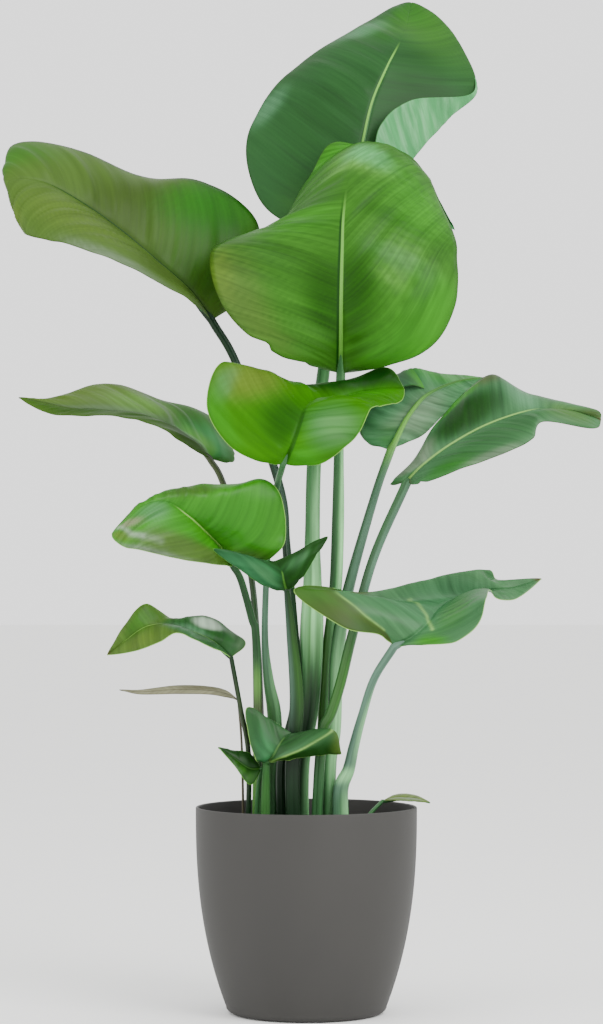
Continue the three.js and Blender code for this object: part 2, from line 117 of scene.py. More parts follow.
leaf_shape("leaf_front", neck=5.3, swell=[10, 14],
    sweep=[[1.5, 0.6, 0.05, 0.1, 0.2], [1, 1.1, 1.5, 1.9, 1.9]], green="leaf_green",
    rib_look=["rib_green", 0.8, 0.57, -1, 1.3], gloss=0.12, streaks=1.3,
    stalk=[[12, 30, 195, 6.6], [18, 28, 300, 6.6], [24, 24, 400, 6.8], [33, 10, 478, 7.2],
        [36, 2, 557, 7], [37, -1, 640, 5.6]],
    rib=[[39, -8, 723], [39, -40, 760], [39, -66, 808], [40, -70, 857], [42, -54, 903],
        [50, -20, 956], [67, 28, 993], [116, 62, 966], [172, 60, 894]],
    left=[[[-30, -45, 741], [-90, -45, 790], [-108, -22, 860], [-64, 6, 885], [-37, 16, 887],
        [0, 36, 947], [46, 60, 996]]],
    right=[[[90, -36, 730], [141, -42, 751], [168, -36, 800], [171, -24, 848], [166, -8, 886],
        [142, 22, 948], [152, 50, 932]]],
    # The darkest greens low on this blade are painted shade in the hollow round the rib, and the
    # pale green near the tip is a painted sheen.
    patches=[["deep_green", 28, 16, 12, 20, 95], ["deep_green", 20, -14, 15, 20, 95],
        ["deep_green", 16, 36, 7, 22, 60], ["leaf_green", 12, -60, 8, 50, 60],
        ["olive_green", 26, -85, 13, 25, 90], ["yellow_olive", 33, -93, 6, 10, 50],
        ["bright_green", 22, 80, 15, 35, 75], ["deep_green", 53, 45, 3, 35, 55],
        ["bright_green", 80, -60, 8, 45, 90], ["bright_green", 62, 62, 10, 35, 60],
        ["bright_green", 48, -35, 6, 35, 45], ["rib_green", 43, 60, 3.5, 30, 12],
        ["sage_green", 42, 50, 3, 30, 30], ["rib_green", 36, 42, 2.5, 16, 15],
        ["rib_green", 67, 2, 4.5, 34, 40], ["mint_green", 68.5, 12, 3.5, 26, 70],
        ["deep_green", 25, 42, 6, 14, 35], ["bright_green", 38, 80, 6, 20, 50],
        ["sheen_green", 92, 10, 5, 60, 60]],
    stalk_patches=[["stalk_pale_and_lit", 420, 300, 320, 40, 75], ["stalk_dark", 520, 120, 215, 50, 60],
        ["leaf_green", 360, 90, 240, 70, 90], ["stalk_pale_and_lit", 240, 70, 300, 60, 80]],
    nicks=[[-1, 16.5, 2.2, 10], [-1, 8.5, 3, 16], [-1, 5, 2, 12]])

leaf_shape("leaf_left_high", neck=4.8, swell=[6, 8], sweep=[[2.2, 2.2, 1.6], [0.6, 0.9, 0.9]],
    green="olive_green", rib_look=["forest_green", 0.8, 0.72, 0, 0.25], stalk_green="stalk_dark",
    gloss=0.12, streaks=0.6,
    stalk=[[-25, -2, 195, 7.5], [-26, -4, 280, 8], [-11, -6, 350, 7.5], [-16, 4, 440, 6.5],
        [-23, 18, 530, 5], [-31, 26, 598, 4.9], [-78, 22, 732, 4.8]],
    rib=[[-108, 20, 786], [-133, 14, 820], [-169, 5, 852], [-211, -8, 887], [-255, -25, 917],
        [-300, -45, 938], [-335.5, -57, 933], [-314, -62, 883]],
    left=[[[-125, -15, 800], [-158, -45, 819], [-205, -70, 841], [-250, -90, 857],
        [-285, -95, 865], [-310, -85, 872]]],
    right=[[[-67, 50, 823], [-56, 70, 904], [-117, 70, 951], [-192, 50, 957], [-282, 12, 987],
        [-338, -22, 975]]],
    patches=[["yellow_olive", 62, -45, 20, 35, 35], ["grey_green", 45, -97, 20, 14, 60],
        ["yellow_olive", 90, -60, 6, 25, 60], ["leaf_green", 85, 65, 14, 40, 80],
        ["dark_olive", 48, 40, 13, 60, 90], ["fresh_green", 36, 78, 11, 45, 95],
        ["deep_green", 22, 40, 13, 60, 65], ["dark_olive", 25, -50, 16, 50, 70],
        ["forest_green", 55, 102, 45, 7, 75], ["grey_green", 97, 20, 3, 60, 50]],
    stalk_patches=[["stalk_grey", 640, 120, 300, 45, 50], ["stalk_green", 450, 500, 90, 75, 80]])

leaf_shape("leaf_mid_front", neck=3.6, swell=[6, 6], sweep=[[0.8, 0.6], [0.6, 0.8]],
    green="lime_green", rib_look=["deep_green", 0.75, 0.42, 1, 0.8], margin="margin_green",
    gloss=0.08, streaks=0.8,
    stalk=[[-39, 8, 195, 5.5], [-39, 9, 262, 5.5], [-36, 8, 310, 8], [-37, 6, 342, 8],
        [-43, 2, 376, 6], [-47, 2, 420, 4], [-46, 1, 478, 3.6], [-42, -12, 540, 3.6],
        [-34, -45, 590, 3.6]],
    rib=[[-26, -90, 617], [-17, -104, 637], [-9, -98, 660], [-2, -80, 680], [10, -55, 692],
        [35, -35, 694], [64, -24, 702], [92, -19, 706], [111, -16, 706]],
    left=[[[-54, -98, 620], [-89, -94, 641], [-111, -84, 684], [-92, -62, 733], [-31, -30, 710],
        [36, -19, 714], [90, -13, 730]]],
    right=[[[13, -98, 616], [44, -94, 637], [59, -82, 653], [72, -64, 680], [84, -48, 684],
        [97, -38, 687], [108, -25, 692]]],
    patches=[["deep_green", 28, -18, 14, 30, 90], ["yellow_olive", 46, -66, 8, 34, 95],
        ["sheen_green", 43, -86, 5, 10, 45], ["bright_green", 33, -92, 12, 14, 60],
        ["sage_green", 32, 56, 13, 42, 80], ["rib_green", 33, 60, 10, 30, 15],
        ["bright_green", 10, 60, 7, 50, 90], ["forest_green", 80, -60, 22, 55, 100],
        ["bright_green", 74, 25, 16, 35, 70]],
    stalk_patches=[["stalk_grey", 460, 110, 270, 200, 75], ["stalk_pale_and_lit", 340, 60, 325, 35, 60],
        ["leaf_green", 320, 70, 240, 60, 50]])

leaf_shape("leaf_left_mid", neck=3.6, swell=[4, 5], sweep=[[0.8, 0.8], [0.9, 1.3]],
    green="olive_green", rib_look=["grey_green", 0.6, 0.95, 0, 0.25], stalk_green="stalk_dark",
    gloss=0.05, streaks=0.5,
    stalk=[[-50, 24, 195, 5], [-52, 20, 320, 4.6], [-56, 18, 420, 4], [-66, 20, 510, 3.8],
        [-95, 12, 600, 3.8]],
    rib=[[-110, 5, 627], [-121, 2, 644], [-144, -2, 658], [-177, -6, 673], [-216, -12, 680],
        [-267, -20, 684], [-325, -30, 695]],
    left=[[[-131, -28, 638], [-158, -52, 656], [-194, -60, 669], [-236, -55, 673],
        [-288, -42, 675.5]]],
    right=[[[-85, 38, 624], [-87, 62, 648], [-117, 70, 683], [-178, 55, 701], [-230, 38, 716],
        [-290, -14, 695]]],
    patches=[["yellow_olive", 70, 50, 25, 50, 60], ["grey_green", 60, 30, 30, 50, 30],
        ["grey_green", 60, 4, 30, 12, 60], ["rib_green", 56, 40, 14, 40, 30],
        ["forest_green", 50, -50, 50, 60, 60], ["leaf_green", 0, 100, 57, 115, 100, 8],
        ["mint_green", 22, 35, 16, 50, 80], ["rib_green", 20, 15, 16, 25, 75],
        ["leaf_brown", 60, -10, 35, 6, 60]],
    stalk_patches=[["stalk_brown", 600, 110, 270, 120, 80], ["stalk_brown", 350, 90, 270, 60, 90],
        ["stalk_green", 440, 60, 300, 60, 50], ["stalk_green", 450, 500, 90, 75, 70]],
    veins=[["grey_green", 2.4, [[60, 95], [53, 52], [42, 12], [36, 2]], 80],
        ["silver_green", 1.8, [[36, 3], [20, 5], [5, 6]], 50]],
    nicks=[[1, 12, 3, 6], [1, 20, 2, 4]])

leaf_shape("leaf_left_low", neck=3.8, swell=[5, 7], sweep=[[0.9, 1.2], [0.6, 0.8]],
    green="bright_green", rib_look=["margin_green", 0.6, 0.62, 0, 0.25], margin="margin_green",
    wave=2.4,
    stalk=[[-57, -6, 195, 4.4], [-55, -8, 330, 5], [-57, -8, 424, 4.6], [-62, -8, 446, 4.2],
        [-74, -12, 489, 4]],
    rib=[[-83, -22, 505], [-95, -48, 525], [-113, -74, 544], [-132, -96, 561], [-155, -114, 575],
        [-184, -126, 568], [-213, -130, 540]],
    left=[[[-88, -45, 505], [-109, -80, 507], [-145, -118, 513], [-179, -138, 521],
        [-201, -142, 526]]],
    right=[[[-43, -55, 511], [-22, -62, 543], [-40, -66, 598], [-100, -75, 594.5],
        [-156, -100, 587]]],
    patches=[["fresh_green", 40, 40, 16, 45, 45], ["dark_olive", 70, 60, 10, 42, 75],
        ["sheen_green", 72, -20, 10, 22, 50], ["olive_green", 42, -80, 36, 34, 95, 3],
        ["dry_beige", 84, -42, 8, 13, 75], ["grey_green", 66, -98, 22, 8, 80],
        ["yellow_olive", 88, -75, 10, 18, 70], ["olive_green", 18, 60, 6, 45, 60],
        ["dark_olive", 92, 30, 6, 50, 50]],
    stalk_patches=[["stalk_dark", 450, 90, 240, 90, 70], ["stalk_brown", 330, 45, 270, 140, 80],
        ["rib_green", 372, 20, 260, 60, 50], ["rib_green", 240, 60, 235, 50, 60]],
    veins=[["silver_green", 2.6, [[93, -38], [81, -67], [71, -73]], 45],
        ["silver_green", 4, [[80, -70], [71, -73], [60, -75]], 22]])

leaf_shape("leaf_centre_small", neck=3.2, swell=[3, 3], sweep=[[0.6, 0.6], [0.6, 0.6]],
    green="forest_green", rib_look=["rib_green", 0.35, 0.6, 0, 0.25], margin="rib_green",
    stalk_green="stalk_dark", gloss=0.1,
    stalk=[[-15, -20, 195, 7.5], [-16, -22, 280, 8], [-11, -24, 352, 8], [-17, -34, 430, 5.6]],
    rib=[[-22, -48, 476], [-25, -56, 487], [-27, -63, 497], [-31, -68, 505], [-36, -72, 510]],
    left=[[[-46, -64, 482], [-76, -84, 502], [-102, -100, 524]]],
    right=[[[-6, -52, 490], [12, -44, 518], [22, -34, 538]]],
    patches=[["teal_green", 50, -60, 35, 50, 95], ["sage_green", 62, 35, 15, 25, 60],
        ["sage_green", 45, -45, 22, 20, 60]],
    stalk_patches=[["stalk_grey", 400, 70, 225, 30, 50], ["leaf_green", 400, 70, 310, 50, 60],
        ["stalk_green", 330, 400, 90, 75, 70]])

leaf_shape("leaf_right_back", neck=4.8, swell=[4, 4], sweep=[[0.4, 0.5], [0.3, 0.4]],
    green="sage_green", under=0.2, rib_look=["rib_green", 0.9, 0.52, 0, 0.25], pleats=[1, 0.3],
    columns=44,
    stalk=[[25, 8, 195, 7.4], [27, 6, 279, 7.4], [32, 6, 322, 7.6], [35, 6, 404, 8],
        [48, 8, 479, 6.4], [78, 8, 585, 4.8]],
    rib=[[96, 5, 637], [105, 3, 656], [116, 0, 676], [132, -3, 695], [152, -1, 707],
        [177, 5, 716], [205, 14, 720]],
    left=[[[115, 12, 646], [134, 14, 655], [155, 14, 676], [172, 12, 693], [188, 12, 707]]],
    right=[[[72, 10, 645], [61, 16, 663], [78, 26, 700], [115, 32, 731], [150, 26, 726]],
        [[70, 8, 646], [64, 10, 668], [90, 8, 702], [120, 4, 710], [152, 6, 706]]],
    patches=[["grey_green", 40, -35, 24, 75, 90], ["grey_green", 36, 25, 16, 25, 60],
        ["leaf_green", 16, 30, 14, 30, 60], ["teal_green", 52, 85, 14, 25, 80],
        ["sheen_green", 45, 42, 13, 28, 80], ["bright_green", 84, 60, 17, 80, 95, 3]],
    stalk_patches=[["stalk_pale_and_lit", 340, 110, 300, 75, 80], ["stalk_grey", 540, 110, 300, 80, 80],
        ["stalk_dark", 480, 200, 205, 45, 50], ["rib_green", 665, 38, 270, 200, 85],
        ["leaf_green", 725, 22, 270, 200, 100]])

leaf_shape("leaf_right", neck=5.2, swell=[5, 5], sweep=[[0.4, 0.4], [1.3, 1.5]],
    green="sage_green", rib_look=["margin_green", 0.55, 0.74, 0, 0.25],
    stalk=[[11, -10, 195, 6], [15, -16, 279, 6], [20, -20, 322, 5.8], [28, -22, 339, 5.8],
        [39, -22, 374, 5.8], [52, -20, 427, 5.6], [76, -20, 514, 5.2]],
    rib=[[113, -40, 599], [118, -43, 606], [135, -50, 622], [163, -58, 642], [200, -67, 662],
        [240, -72, 676], [268, -74, 680], [298, -74, 677], [328, -74, 667]],
    left=[[[94, -34, 598], [121, -26, 625], [148, -20, 668], [178, -22, 700], [211, -28, 721],
        [250, -42, 698], [320, -70, 680]]],
    right=[[[124, -58, 596], [146, -82, 602], [180, -100, 615], [222, -106, 630],
        [250, -100, 645], [262, -90, 664], [318, -84, 657]]],
    patches=[["sheen_green", 68, -45, 7, 45, 80], ["forest_green", 46, -45, 14, 42, 100, 2.6],
        ["bright_green", 46, -95, 11, 13, 90, 3], ["grey_green", 24, -60, 9, 60, 80, 3],
        ["leaf_brown", 60, -98, 5, 20, 60], ["forest_green", 52, 50, 22, 40, 55],
        ["fresh_green", 30, 80, 12, 26, 80], ["grey_green", 46, 95, 10, 12, 60],
        ["leaf_brown", 4, 30, 6, 70, 70], ["forest_green", 8, -80, 6, 40, 80],
        ["olive_green", 84, 20, 9, 60, 60], ["dark_olive", 93, -50, 6, 60, 90],
        ["leaf_brown", 99, 0, 2, 120, 80]],
    stalk_patches=[["stalk_grey", 520, 110, 320, 70, 80], ["stalk_dark", 420, 150, 220, 60, 60],
        ["leaf_green", 370, 70, 270, 90, 80]],
    nicks=[[1, 16, 3, 12], [-1, 14, 3, 10]])

leaf_shape("leaf_right_low", neck=4.7, swell=[4, 4], sweep=[[0.6, 0.6], [1, 1.2]],
    green="sage_green", rib_look=["rib_green", 0, 0.3, 0, 0.25], margin="margin_green",
    stalk_green="stalk_grey", pleats=[0.3, 1], columns=56,
    stalk=[[40, -4, 195, 9.2], [39, -5, 250, 8.6], [48, -8, 275, 7], [54, -12, 302, 6],
        [63, -19, 336, 5], [76, -36, 378, 4.5]],
    rib=[[98, -60, 415], [117, -70, 426], [134, -62, 440], [146, -38, 455], [163, -8, 466],
        [188, 20, 473], [212, 36, 478], [240, 46, 481], [272, 52, 491]],
    left=[[[82, -72, 431], [55, -84, 452], [31, -78, 477], [63, -59, 467], [134, -22, 488],
        [194, 20, 500], [214, 44, 489]], [[81, -74, 428], [40, -92, 437], [-14, -84, 476],
        [23, -66, 482], [77, -49, 470], [200, 30, 501], [222, 56, 489]]],
    right=[[[131, -84, 417], [166, -92, 421], [192, -84, 443], [201, -60, 470], [208, -10, 478],
        [216, 18, 469], [240, 32, 467]]],
    patches=[["teal_green", 40, 10, 20, 60, 45], ["sheen_green", 62, -20, 14, 30, 35],
        ["leaf_green", 38, 40, 14, 30, 50], ["dark_olive", 27, -105, 45, 34, 100, 8],
        ["leaf_green", 40, -90, 12, 14, 60], ["forest_green", 20, -92, 12, 12, 45],
        ["leaf_brown", 28, -92, 5, 8, 20], ["bright_green", 16, 75, 7, 40, 90],
        ["leaf_brown", 99, 0, 2, 120, 90]],
    stalk_patches=[["stalk_pale_and_lit", 268, 9, 270, 200, 70], ["stalk_pale_and_lit", 320, 40, 320, 50, 50],
        ["stalk_green", 225, 30, 270, 120, 60], ["stalk_pale_and_lit", 215, 40, 320, 50, 60]],
    # Painted highlight: the first pale vein runs along the ridge of the left half's fold.
    veins=[["margin_green", 1.2, [[46, -75], [36, -73], [26, -72], [14, -72]], 35],
        ["margin_green", 1.9, [[52, -38], [43, -19], [33, -6], [27, 2], [23, 29]], 38]])

leaf_shape("leaf_small_left", neck=2.7, swell=[3, 4], sweep=[[0.7, 0.7], [0.7, 0.7]],
    green="olive_green", rib_look=["margin_green", 0.3, 0.9, 0, 0.25], margin="margin_green",
    stalk_green="stalk_dark", gloss=0.12,
    stalk=[[-66, -18, 195, 3.2], [-65, -24, 290, 3], [-74, -32, 345, 2.8]],
    rib=[[-84, -52, 402], [-103, -58, 420], [-127, -64, 432], [-154, -72, 440], [-179, -80, 437],
        [-202, -84, 421], [-221, -86, 406]],
    left=[[[-94, -74, 409], [-118, -88, 420], [-142, -94, 430.5], [-160, -96, 421.5],
        [-187, -95, 411]]],
    right=[[[-68, -40, 418], [-87, -28, 434], [-113, -34, 449], [-147, -52, 444],
        [-178, -72, 463], [-201, -80, 440]]],
    # Painted sheen: the pale grey-green and silver patches on the right part's top and margin.
    patches=[["blue_green", 24, 0, 32, 150, 100, 5], ["forest_green", 26, 10, 20, 35, 60],
        ["sheen_green", 44, -50, 10, 40, 40], ["sheen_green", 34, 8, 10, 14, 50],
        ["silver_green", 34.5, 56, 8.5, 30, 85, 3], ["grey_green", 16, 85, 12, 22, 25],
        ["yellow_olive", 78, -60, 12, 35, 30], ["leaf_green", 72, 40, 12, 50, 70],
        ["leaf_brown", 99, 0, 2.5, 120, 90]],
    stalk_patches=[["stalk_brown", 320, 60, 270, 60, 40], ["stalk_green", 270, 300, 90, 75, 70]])

leaf_shape("leaf_low_front", neck=4, swell=[2, 2], sweep=[[0.6, 0.6], [0.6, 0.6]],
    green="blue_green", rib_look=["margin_green", 0.1, 0.8, 0, 0.25], margin="margin_green",
    pleats=[1, 0.2], columns=44,
    stalk=[[-47, -28, 195, 5.4], [-46, -30, 250, 5]],
    rib=[[-45, -38, 284], [-38, -50, 292], [-31, -51, 304], [-24, -42, 313], [-16, -37, 317]],
    left=[[[-56, -48, 288], [-64, -48, 312], [-65, -42, 347]]],
    right=[[[-24, -58, 292], [3, -62, 304], [30, -58, 322]], [[-20, -54, 288.5], [13, -49, 293],
        [38, -42, 296]]],
    patches=[["forest_green", 40, 15, 50, 20, 40], ["sage_green", 35, 45, 25, 14, 50],
        ["forest_green", 30, 92, 40, 26, 85, 4], ["olive_green", 86, 90, 24, 34, 100, 5],
        ["teal_green", 35, -50, 30, 35, 50], ["mint_green", 20, -30, 30, 30, 30]],
    stalk_patches=[["leaf_green", 230, 60, 270, 120, 50]],
    # Painted highlight: the pale vein runs along the ridge of the right half's fold.
    veins=[["margin_green", 1.1, [[4, 66], [25, 66], [50, 62], [92, 64]], 50]])

leaf_shape("leaf_low_left", neck=2, swell=[2, 2], sweep=[[0.5, 0.5], [0.5, 0.5]],
    green="forest_green", rib_look=["rib_green", 0.15, 0.9, 0, 0.25], margin="rib_green",
    stalk=[[-57, -22, 195, 2.6], [-55, -26, 250, 2.2]],
    rib=[[-50, -31, 277], [-64, -38, 278], [-80, -42, 289], [-99, -42, 302]],
    left=[[[-63, -46, 260], [-81, -50, 282]]],
    right=[[[-64, -33, 295], [-82, -34, 298]]],
    patches=[["leaf_green", 50, -60, 30, 40, 50]])

leaf_shape("leaf_rim_right", neck=2.2, swell=[2, 2], sweep=[[0.5, 0.5], [0.5, 0.5]],
    green="yellow_olive", rib_look=["forest_green", 0.4, 0.95, 0, 0.25],
    stalk=[[62, -24, 195, 3], [70, -18, 222, 2.6]],
    rib=[[86, -10, 239.5], [103, -12, 242], [122, -14, 242], [140, -16, 238]],
    left=[[[103, 8, 245.5], [124, 4, 244.5]]],
    right=[[[102, -30, 241], [121, -28, 240]]],
    patches=[["grey_green", 55, 50, 30, 50, 60]])

leaf_shape("dried_leaf", neck=1.3, swell=[0, 0], sweep=[[1.5, 1.5], [1.5, 1.5]],
    green="dry_beige", rib_look=["dry_brown", 0.6, 1, 0, 0.25], margin="dry_brown",
    stalk_green="dry_brown",
    stalk=[[-71, -8, 195, 1.5], [-73, -12, 300, 1.4]],
    rib=[[-77, -18, 354], [-90, -25, 361], [-110, -31, 365], [-145, -42, 366.5], [-186, -52, 364],
        [-209, -58, 367]],
    left=[[[-90, -29, 357], [-110, -35, 360.5], [-145, -46, 361.5], [-186, -55, 361.5]]],
    right=[[[-90, -22, 364.5], [-110, -27, 369.5], [-145, -38, 371], [-186, -49, 366.5]]],
    patches=[["dry_brown", 45, 40, 12, 50, 60]])

# ---- blades, in millimetres, in radii of the rib or in shares of the blade ----
# A pair is where a rise or a fade starts and where it is full.
ROWS = 120
COLUMN_CROWD = 1.35
BLADE_ENDS = (0.003, 0.997)
FOLD_STEPS = 40
ARCH_STEPS = 96
ARCH_POWER = 0.7
RIB_REACH = 0.02
FULL_HALF_WIDTH = 90
PLEAT_LENGTHS = [47, 29, 17, 9.5, 6]
PLEAT_HEIGHTS = [1, 0.8, 0.5, 0.3, 0.2]
PLEAT_RISE = (2, 20)
PLEAT_FADE = 0.92
PLEAT_FADE_FROM = 0.55
WAVES_ALONG = 10
WAVE_LENGTHS = [2.3, 1.4, 0.9]
WAVE_HEIGHTS = [0.9, 0.6, 0.35]
WAVE_POWER = 4
WAVE_START = (0, 0.05)
WAVE_END = (0.93, 0.99)
CHANNEL_DEPTH = 0.4
CHANNEL_WIDTH = 1.05
EDGE_THICKNESS = 0.45
EDGE_WIDTH = 3.0
FILLET_HEIGHT = 0.75
FILLET_WIDTH = 1.2
FILLET_START = (0, 0.04)
RIB_TIP_RADIUS = 0.7
RIB_START = 0.78
RIB_TAPER_POWER = 1.15
RIB_FADE = 0.12
VEIN_FAN = 18.0
VEIN_STEPS = 80
STREAK_LENGTHS = [13, 7.7, 4.9]
STREAK_HEIGHTS = [0.5, 0.35, 0.3]
STREAK_IN_PATCH = 0.35
STREAK_IN_COLOUR = 0.10
PATCH_EDGE = 1.6

# ---- stalks and the midribs that end them ----
# A channel is (least depth, how much deeper it gets), in radii. Angles are in radians from
# the channel's middle.
STALK_SIDES = 24
STALK_STEPS = 14
STALK_CHANNEL = (0.30, 0.25)
STALK_CHANNEL_RISE = (0.55, 1.0)
STALK_PATCH_EDGE = 1.5
RIB_BAR_STEPS = 70
RIB_BAR_END = 0.985
RIB_BAR_REACH = 0.015
RIB_BAR_BLEND = (0, 0.09)
RIB_BAR_SINK = 0.95
RIB_BAR_CHANNEL = (0.3, 0.2)
CHANNEL_ANGLE = 0.62
LIP_HEIGHT = 0.06
LIP_ANGLE = 1.05
LIP_WIDTH = 0.3

# ---- pot and soil, in millimetres ----
POT_HEIGHT = 232.5
POT_RIM_RADIUS = 125.5
POT_TAPER = 37.5
POT_TAPER_POWER = 2.5
POT_WALL = 3.2
POT_FLOOR = 4.0
POT_FOOT_ROUND = 8.0
POT_STEPS = 26
POT_STEP_CROWD = 1.25
POT_STEP_SPAN = POT_HEIGHT - 10
POT_LAST_STEP = POT_HEIGHT - 6
FOOT_STEPS = 8
RIM_STEPS = 12
FLOOR_ROUND = 3
SOIL_TOP = POT_HEIGHT - 38
SOIL_MOUND = 6.0
MOUND_RADIUS = 60
MOUND_POWER = 1.3
SOIL_FALL = 4.5
SOIL_FALL_FROM = (40, 112)
SOIL_LUMPS = [(2.2, 17, 3), (1.3, 6, 9)]
SOIL_RINGS = 46
SOIL_SIDES = 150
SOIL_GAP = 0.4
SOIL_RIM_BELOW = 8
SOIL_RIM_GAP = 0.3
SOIL_WALL_GAP = 1.2
SOIL_WALL_HEIGHTS = (140, 90, 40, 15)
CRUMB_SPREAD = 108
CRUMB_WIDTH = (0.45, 0.8)
CRUMB_HEIGHT = 0.4
CRUMB_LIFT = 0.4
CRUMB_TILT = (-0.5, 0.5)
CRUMB_DENT = (0.75, 1.15)
BARK_SIZES = (3.0, 7.5)
PERLITE_SIZES = (1.2, 2.4)

# ---- looks ----
# The detail and roughness of a pattern, and how often it repeats: on a blade in a metre
# across the veins, in a metre along them and from base to tip; on a stalk in a metre along
# it, in a radian round it and in a metre out; elsewhere in a metre of x, y and z.
ROUGH, FINE, MEDIUM, SOFT = (6, 0.7), (4, 0.6), (3, 0.6), (2, 0.5)
STREAK_REPEATS = (9, 2)
BAND_REPEATS = (5, 2)
BAND_VEINS = 6
BLOOM_REPEATS = (130, 11, 2)
FIBRE_REPEATS = (5, 2.4, 0)
SHEATH_REPEATS = (14, 0.7, 0)
CLOUD_REPEATS = (9, 9, 5)
PAINT_REPEATS = (3, 3, 3)
# Sizes of grain, fibres and pores, in millimetres.
GRAIN_SIZE = 1.0
PEAT_FIBRE, BARK_FIBRE, PERLITE_PORE = 2.5, 3.846, 2.0
# The weights of two patterns in a shade, and what is added.
UPPER_SHADE = (0.95, 0.75, -0.85)
UNDER_SHADE = (0.7, 0.5, 0.37)
STALK_SHADE = (1.4, 0.8, -0.1)
# Values from which and to which a colour comes in. Off the rib they are in its radii.
# The dark line beside the rib is painted shade of its channel.
RIB_SHADE_LINE = (1.0, 0.2)
RIB_LINE = (0.85, 0.4)
MARGIN_LINE = (1.2 * MM, 0.2 * MM)
MARGIN_SHARE = 0.7
BLOOM_RANGE = (0.4, 0.75)
CLOUD_RANGE = (0.3, 0.7)
GRAIN_RANGE = (0.5, 0.85)
CRUMB_RANGE = (0.35, 0.7)
# Bumps are (strength, height in millimetres).
LEAF_SKIN = {"roughness": (0.32, 0.5), "bump": (0.35, 0.4)}
STALK_SKIN = {"roughness": 0.4, "bump": (0.3, 0.3)}
POT_SKIN = {"roughness": (0.52, 0.7), "bump": (0.25, 0.15)}
SOIL_SKIN = {"roughness": 0.95, "bump": (0.9, 1.2)}
FLOOR_SKIN = {"roughness": 0.8}
WAX_IOR, POLYPROPYLENE_IOR = 1.42, 1.49
STALK_GLOSS, POT_GLOSS = 0.28, 0.3
# How much darker or lighter a second shade of a colour is.
POT_SHADES = (0.9, 1.07)
FLOOR_SHADE = 0.98
PEAT_SHADE, BARK_SHADE, PERLITE_SHADE = 0.45, 0.4, 0.7

# ---- camera, lights and floor, in metres ----
CAMERA_PLACE = (-0.0055, -3.4, 0.488)
CAMERA_TARGET = (-0.0055, 0.0, 0.5664)
CAMERA_LENS = 105.2
SENSOR_HEIGHT = 36.0
KEY_PLACE, KEY_SIZE = (1.9, -2.1, 2.2), 1.8
FILL_PLACE, FILL_SIZE = (-2.4, -1.8, 1.4), 2.2
LIGHT_TARGET = (0, 0, 0.6)
FLOOR_HALF = 30


def linear(hex_colour):
    """The linear RGB of an sRGB hex colour."""
    values = [int(hex_colour[i:i + 2], 16) / 255 for i in (1, 3, 5)]
    return tuple(v / 12.92 if v <= 0.04045 else ((v + 0.055) / 1.055) ** 2.4 for v in values)


def colour_property(name, hex_colour, description):
    """A colour setting, given as an sRGB hex colour."""
    return bpy.props.FloatVectorProperty(
        name=name, description=description, subtype="COLOR", size=3, min=0, max=1,
        default=linear(hex_colour))


def length_property(name, description, default, low, high):
    """A length setting, given in millimetres."""
    return bpy.props.FloatProperty(
        name=name, description=description, default=default * MM, min=low * MM,
        max=high * MM, unit="LENGTH")


class LeafSettings(bpy.types.PropertyGroup):
    """Sizes and colours of the leaves and stalks."""
    blade_thickness: length_property(
        "Blade thickness", "Thickness of a blade away from its rib", 0.7, 0.2, 2)
    pleat_height: length_property(
        "Pleat height", "Height of the soft pleats between side veins", 0.9, 0, 5)
    margin_wave: length_property(
        "Margin wave", "Height of the waves along a leaf's margin", 0.7, 0, 8)
    vein_spacing: length_property(
        "Vein spacing", "Distance between the side veins that show", 4.0, 1, 10)


LEAF_COLOURS = {
    # Painted shade: the dark green laid in hollows at a blade's base and along a rib's channel.
    "deep_green": ("#133d01", "Hollow of a young leaf"),
    "forest_green": ("#0e3307", "Old leaf in shade"),
    "leaf_green": ("#2a5814", "Leaf, upper side"),
    "bright_green": ("#2b6f0f", "Young leaf, upper side"),
    "lime_green": ("#286001", "Youngest leaf"),
    "fresh_green": ("#19540a", "Saturated young leaf"),
    "blue_green": ("#214621", "Old leaf, upper side"),
    "teal_green": ("#275b37", "Old leaf that faces the light"),
    "sage_green": ("#345e38", "Leaf with a thin bloom of wax"),
    # Painted sheen: the pale grey-green of a glossy blade that mirrors the bright surroundings.
    "sheen_green": ("#467150", "Leaf with a thick bloom of wax"),
    "mint_green": ("#418a52", "Underside of a leaf"),
    "olive_green": ("#3b551d", "Ageing leaf"),
    "dark_olive": ("#2d4112", "Ageing leaf in shade"),
    "yellow_olive": ("#4d631c", "Ageing leaf, thin parts"),
    # Grey and silver greens are partly the leaves' own greyed parts and partly a painted sheen,
    # as on the small left leaf's right part.
    "grey_green": ("#5e6e59", "Dull, greyed parts"),
    "silver_green": ("#8b9c8a", "Silvery, bleached parts"),
    "pale_green": ("#80b889", "Bloom on an underside"),
    "leaf_brown": ("#423a20", "Dry tips and torn edges"),
    "rib_green": ("#629c3d", "Midrib on the upper side"),
    "margin_green": ("#8fc05c", "Thin clear margin"),
    "dry_beige": ("#75735c", "Withered blade"),
    "dry_brown": ("#474333", "Withered rib"),
    "stalk_green": ("#2e5730", "Stalk"),
    "stalk_grey": ("#4a6957", "Stalk with a bloom of wax"),
    # Painted light on stalks: the dark colour is painted shade on the side away from the key
    # light and on stalks that stand in shadow; the pale colour is a pale sheath and also a
    # painted highlight on the side towards the key light.
    "stalk_dark": ("#0a240e", "Stalk, dark sheath"),
    "stalk_pale_and_lit": ("#8bcf8b", "Stalk, pale sheath"),
    "stalk_brown": ("#40482c", "Stalk, drying sheath"),
}
for key, (hex_colour, use) in LEAF_COLOURS.items():
    LeafSettings.__annotations__[key] = colour_property(
        key.replace("_", " ").capitalize(), hex_colour, use)


